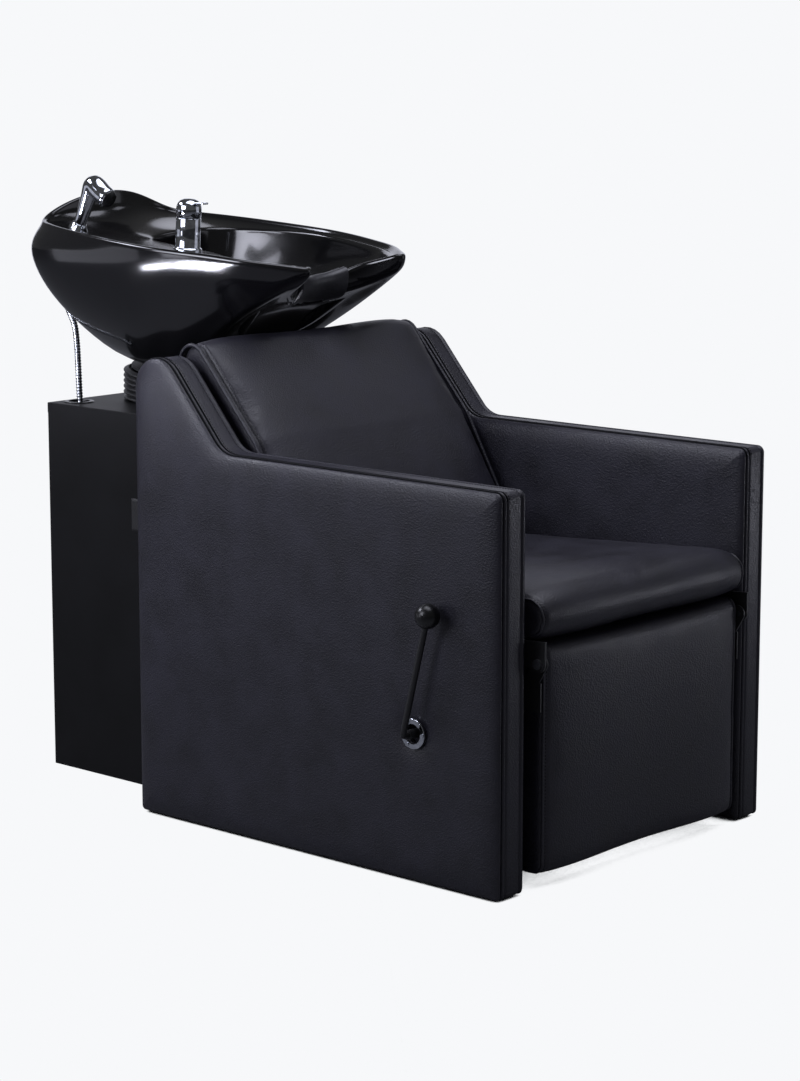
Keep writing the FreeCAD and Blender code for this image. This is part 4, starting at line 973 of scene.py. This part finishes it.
def sidePanel(side, label, padded, plain):
    f = armFacts
    for section, name, node in (("padded", padded, "arm_" + padded + "_pad_"), ("band", "band", "arm_core_"),
                                ("plain", plain, "arm_" + plain + "_pad_")):
        bm, first, last = ringSkin([panelLine(inset, x, side) for inset, x in f[section]])
        if section == "padded" and label == "right":
            # the lever's hole
            y, z = leverPlace
            rings = []
            for radius, x in f["dimple"]:
                reach = radius * mm
                rings.append([Vector((side * x * mm, y + reach * c, z + reach * s))
                              for c, s in circle(f["dimpleSides"])])
            bm, holeFirst, holeLast = ringSkin(rings, bm=bm)
            for loops in (first + holeFirst, last + holeLast):
                bmesh.ops.triangle_fill(bm, edges=loops, use_beauty=True, normal=(1, 0, 0))
        else:
            bmesh.ops.holes_fill(bm, edges=first + last)
        piece = addPiece(bm, name + "_hide_" + label, hide, "base", "leatherette", node + label)
    stitches, seamShadeCords = ([[p for p in panelLine(inset, x, side)[1:] if p.z > f["seamFoot"]]
                        for inset, x in f[rows]] for rows in ("stitches", "seamShadeCords"))
    sewn("arm_stitching_" + label, stitches, "base")
    # painted shade: a black cord lies along each seam's crease
    welt("arm_seam_" + label, seamShadeCords, f["seamShadeRadius"], "base", thread)


sidePanel(-1, "right", "outer", "inner")
sidePanel(1, "left", "inner", "outer")
print("side panels sewn")


# Cushions: the solid's skin, evenly remeshed, blown up a little, then seamed

cushionFacts = {
    "voxel": 6 * mm,
    "frames": 20,
    "cloth": {"quality": 5, "mass": 0.3, "tension_stiffness": 30, "compression_stiffness": 30,
              "shear_stiffness": 15, "bending_stiffness": 2, "use_pressure": True,
              "uniform_pressure_force": 4.0},
    "spacing": 4 * mm,  # of the points along a seam
    "seam": (1.6 * mm, 6 * mm),  # depth and width of the channel along a seam
    "weltRadius": 2.2 * mm,
}


def plumpSkin(node, name, facts):
    # the insets say in mm how far the skin's box stands inside the solid's before it is blown up
    source = nodes[node]
    bm = bmesh.new()
    bm.from_mesh(source.data)
    bmesh.ops.transform(bm, matrix=source.matrix_world, verts=bm.verts)
    bmesh.ops.remove_doubles(bm, verts=bm.verts, dist=weldGap)
    start, end = (Vector(corner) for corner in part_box(node))
    newStart = start + Vector(facts["startInset"]) * mm
    newEnd = end - Vector(facts["endInset"]) * mm
    shares = [(b - a) / (d - c) for a, b, c, d in zip(newStart, newEnd, start, end)]
    bmesh.ops.translate(bm, vec=-start, verts=bm.verts)
    bmesh.ops.scale(bm, vec=shares, verts=bm.verts)
    bmesh.ops.translate(bm, vec=newStart, verts=bm.verts)
    piece = toPiece(bm, name, hide)
    addModifier(piece, "REMESH", mode="VOXEL", voxel_size=cushionFacts["voxel"])
    addModifier(piece, "SMOOTH", factor=0.5, iterations=facts["softening"])
    bake(piece)
    rests = [v.co.copy() for v in piece.data.vertices]
    blowUp(piece)
    most = facts["mostMove"]
    for vert, rest in zip(piece.data.vertices, rests):
        move = vert.co - rest
        if move.length > most:
            vert.co = rest + move * (most / move.length)
    addModifier(piece, "SMOOTH", factor=0.5, iterations=facts["softening"])
    addModifier(piece, "SUBSURF", levels=1, render_levels=1)
    return bake(piece)


def blowUp(piece):
    cloth = addModifier(piece, "CLOTH")
    for name, value in cushionFacts["cloth"].items():
        setattr(cloth.settings, name, value)
    cloth.settings.effector_weights.gravity = 0
    cloth.point_cache.frame_start = 1
    cloth.point_cache.frame_end = cushionFacts["frames"]
    for moment in range(1, cushionFacts["frames"] + 1):
        scene.frame_set(moment)
    bake(piece)
    scene.frame_set(1)


def finishCushion(piece, name, body, node, section, facts):
    # a welt and a row of stitches up both ends of a cushion
    edges, rows = ([projected(piece, section(side * facts[place])) for side in (-1, 1)]
                   for place in ("edgeX", "stitchX"))
    groove(piece, rows, *cushionFacts["seam"])
    settle(piece, body, "leatherette", node)
    welt(name + "_welt", edges, cushionFacts["weltRadius"], body, hide)
    sewn(name + "_stitching", [projected(piece, row) for row in rows], body)


seatFacts = {
    "pivot": (-582 * mm, 394 * mm), "angle": math.radians(-3.6),
    "noseRadius": 32.5 * mm, "nosePlace": -576.5 * mm, "end": -135 * mm, "thick": 65 * mm,
    "edgeX": 262 * mm, "stitchX": 253 * mm, "noseSteps": 12,
    "startInset": (2, 2, 1), "endInset": (2, -12, 2), "mostMove": 5 * mm, "softening": 3,
}


def seatLine(x):
    # the seat's section from its rear end over the top and round the nose
    f = seatFacts
    base = f["pivot"][1]
    line = [Vector((x, f["end"], base + f["thick"]))]
    for k in range(f["noseSteps"] + 1):
        turn = math.pi * k / f["noseSteps"]
        line.append(Vector((x, f["nosePlace"] - math.sin(turn) * f["noseRadius"],
                            base + f["noseRadius"] * (1 + math.cos(turn)))))
    pivot = Vector((0, *f["pivot"]))
    spin = Matrix.Translation(pivot) @ Matrix.Rotation(f["angle"], 4, "X") @ Matrix.Translation(-pivot)
    return evenPoints([spin @ p for p in line], cushionFacts["spacing"])


def seatCushion():
    piece = plumpSkin("seat_cushion", "seat_hide", seatFacts)
    finishCushion(piece, "seat", "base", "seat_cushion", seatLine, seatFacts)


seatCushion()
print("seat made")

backFacts = {
    "foot": (-119 * mm, 440 * mm),
    "lower": (math.radians(59.9), 228 * mm), "upper": (math.radians(48.5), 186 * mm),  # slope, length
    "thick": 60 * mm, "topSteps": 12,
    "edgeX": 261 * mm, "weltRadius": 3.4 * mm, "weltDepth": 2.5 * mm,
    "stitchX": (253 * mm, 248 * mm), "seam": (3 * mm, 7 * mm),
    "bendReach": 100 * mm, "bendSoft": 18 * mm,
    "startInset": (1, 1, 2), "endInset": (1, 1, 1), "mostMove": 5 * mm, "softening": 5,
}


def slope(angle):
    # the way up a slope and the way back into it
    along, rise = math.cos(angle), math.sin(angle)
    return Vector((0, along, rise)), Vector((0, rise, -along))


def backLine(x, depth=0.0):
    # the back's section up its front face and over its top, or at a depth below that skin
    f = backFacts
    lower, into = slope(f["lower"][0])
    rise, behind = slope(f["upper"][0])
    foot = Vector((x, *f["foot"])) + into * depth
    bend = foot + lower * f["lower"][1]
    top = bend + rise * f["upper"][1]
    reach = f["thick"] / 2 - depth
    centre = top + behind * reach
    line = [foot, bend, top]
    for k in range(1, f["topSteps"] + 1):
        turn = math.pi * k / f["topSteps"]
        line.append(centre + (rise * math.sin(turn) - behind * math.cos(turn)) * reach)
    return evenPoints(line, cushionFacts["spacing"])


def roundBend(piece):
    # turns the back's sharp bend into a long soft curve
    f = backFacts
    lower, upper = f["lower"][0], f["upper"][0]
    bend = Vector((0, *f["foot"])) + slope(lower)[0] * f["lower"][1]
    rise, behind = slope((lower + upper) / 2)
    for vert in piece.data.vertices:
        away = (vert.co - bend).dot(rise)
        way = 1 - (math.hypot(away, f["bendSoft"]) - f["bendSoft"]) / f["bendReach"]
        deep = (vert.co - bend).dot(behind) / f["thick"]
        if way > 0 and deep < 1:
            vert.co += behind * (lower - upper) / 4 * f["bendReach"] * way * way * min(1, 1 - deep)


def backCushion():
    f = backFacts
    piece = plumpSkin("back_cushion", "back_hide", f)
    roundBend(piece)
    edges = [backLine(side * f["edgeX"], f["weltDepth"]) for side in (-1, 1)]
    rows = [[projected(piece, backLine(side * x)) for side in (-1, 1)] for x in f["stitchX"]]
    groove(piece, rows[0], *f["seam"])
    settle(piece, "base", "leatherette", "back_cushion")
    welt("back_welt", edges, f["weltRadius"], "base", hide)
    sewn("back_stitching", [projected(piece, line) for row in rows for line in row], "base")


backCushion()
print("back made")

footFacts = {
    "front": -596 * mm, "low": 28 * mm, "high": 386 * mm, "thick": 44 * mm,
    "edgeX": 249 * mm, "stitchX": 240 * mm, "corner": 13 * mm, "cornerSteps": 8,
    "pull": 10 * mm, "squareness": 6,
    "startInset": (-1, 1, -5), "endInset": (-1, -13, -7), "mostMove": 3 * mm, "softening": 2,
}


def footLine(x):
    # the footrest pad's section from the back of its top down the front to the back of its foot
    f = footFacts
    front, low, high = f["front"], f["low"], f["high"]
    rear = front + f["thick"]
    corners = [Vector(p) for p in ((rear, high), (front, high), (front, low), (rear, low))]
    loop = roundCorners(corners, [0, f["corner"], f["corner"], 0], f["cornerSteps"])
    return evenPoints([Vector((x, p.x, p.y)) for p in loop], cushionFacts["spacing"])


def footrestPad():
    f = footFacts
    piece = plumpSkin("footrest_pad", "footrest_hide", f)
    # the cover's ends are pulled square, so that its top and foot edges run straight
    for vert in piece.data.vertices:
        end = min(1, abs(vert.co.x) / f["edgeX"]) ** f["squareness"]
        vert.co.z += f["pull"] * end * (2 * (vert.co.z - f["low"]) / (f["high"] - f["low"]) - 1)
    finishCushion(piece, "footrest", "footrest", "footrest_pad", footLine, f)


footrestPad()
print("footrest made")


# Floor, backdrop and light

studio = {
    "floor": "#8a8b8e",
    "floorSize": 30,
    "sky": "#f7f8fa",
    "tint": "#eef0ff",
    # painted shade on the floor: occlusion share to colour, from near black to the backdrop
    "paintedShades": [(0.22, "#0e0e10"), (0.26, "#e6e8ea"), (0.3, "#f7f8fa")],
    "paintedShadeReach": 0.4,
    "world": 0.10,
    "lamps": [
        # name, place, aim, size, power, spread in degrees
        ("backdropPanel", (2.8, 2.8, 1.3), (0, 0, 0.7), (4.0, 2.4), 28, 180),
        ("topSoftbox", (0.1, -0.4, 3.0), (0, 0, 0.5), (2.2, 2.2), 52, 180),
        ("leftSoftbox", (-2.4, 0.55, 1.65), (0.15, 0.4, 0.92), (1.7, 1.0), 8.5, 70),
        ("sideKey", (-2.5, 0.95, 0.62), (-0.34, -0.2, 0.4), (0.5, 0.5), 1.2, 120),
        ("leftRearPanel", (-2.3, 3.3, 0.5), (-0.2, 0.3, 0.8), (2.2, 1.0), 5, 180),
        ("lowStrip", (-2.1, 0.6, 0.14), (-0.2, 0.25, 1.02), (0.9, 0.22), 1.6, 20),
        ("lowStripRear", (-1.95, 1.25, 0.14), (-0.2, 0.3, 1.02), (0.7, 0.2), 0.6, 22),
        ("frontFill", (2.2, -2.6, 0.9), (0, -0.4, 0.5), (2.2, 1.8), 7, 180),
        ("frontStrip", (1.6, -1.8, 0.4), (0.15, -0.6, 0.54), (0.6, 0.3), 0.09, 20),
        ("keySoftbox", (2.1, -0.9, 2.5), (0, -0.4, 0.5), (0.6, 0.6), 2, 180),
        ("rimSoftbox", (-1.3, 1.8, 2.4), (-0.34, -0.1, 0.65), (1.2, 0.6), 5.5, 70),
    ],
}


def plainToCamera(tree, surface, plain, output):
    ray = addNode(tree, "LightPath").outputs["Is Camera Ray"]
    mix = addNode(tree, "MixShader", i0=ray, i1=surface, i2=plain)
    setInputs(tree, tree.nodes[output], {"Surface": mix})


def paleStage():
    bm = bmesh.new()
    bmesh.ops.create_grid(bm, x_segments=1, y_segments=1, size=studio["floorSize"])
    floorColour = linearColour(studio["floor"])
    material, tree, shader = startMaterial("paleFloor", Base_Color=floorColour, Roughness=0.9)[:3]
    floor = toPiece(bm, "floor", material, smooth=False)
    # seen by the camera as the plain backdrop, with painted shade: ambient occlusion darkens it faintly along
    # contacts and to near black where the floor is shut in under the chair
    near = addNode(tree, "AmbientOcclusion", Distance=studio["paintedShadeReach"])
    tone = addNode(tree, "ValToRGB", {"stops": studio["paintedShades"]}, Fac=near.outputs["AO"])
    plain = addNode(tree, "Emission", Color=tone)
    plainToCamera(tree, shader, plain, "Material Output")


def studioWorld():
    world = bpy.data.worlds.new("studio")
    scene.world = world
    world.use_nodes = True
    tree = world.node_tree
    sky = linearColour(studio["sky"])
    light = tree.nodes["Background"]
    setInputs(tree, light, {"Color": sky, "Strength": studio["world"]})
    plain = addNode(tree, "Background", Color=sky, Strength=1.0)
    plainToCamera(tree, light, plain, "World Output")


def softboxes():
    for name, place, aim, size, power, spread in studio["lamps"]:
        lamp = bpy.data.lights.new(name, "AREA")
        lamp.shape = "RECTANGLE"
        lamp.size, lamp.size_y = size
        lamp.energy = power
        lamp.spread = math.radians(spread)
        lamp.color = linearColour(studio["tint"])[:3]
        placed(name, lamp, place, Vector(aim) - Vector(place))


paleStage()
studioWorld()
softboxes()
print("studio set")
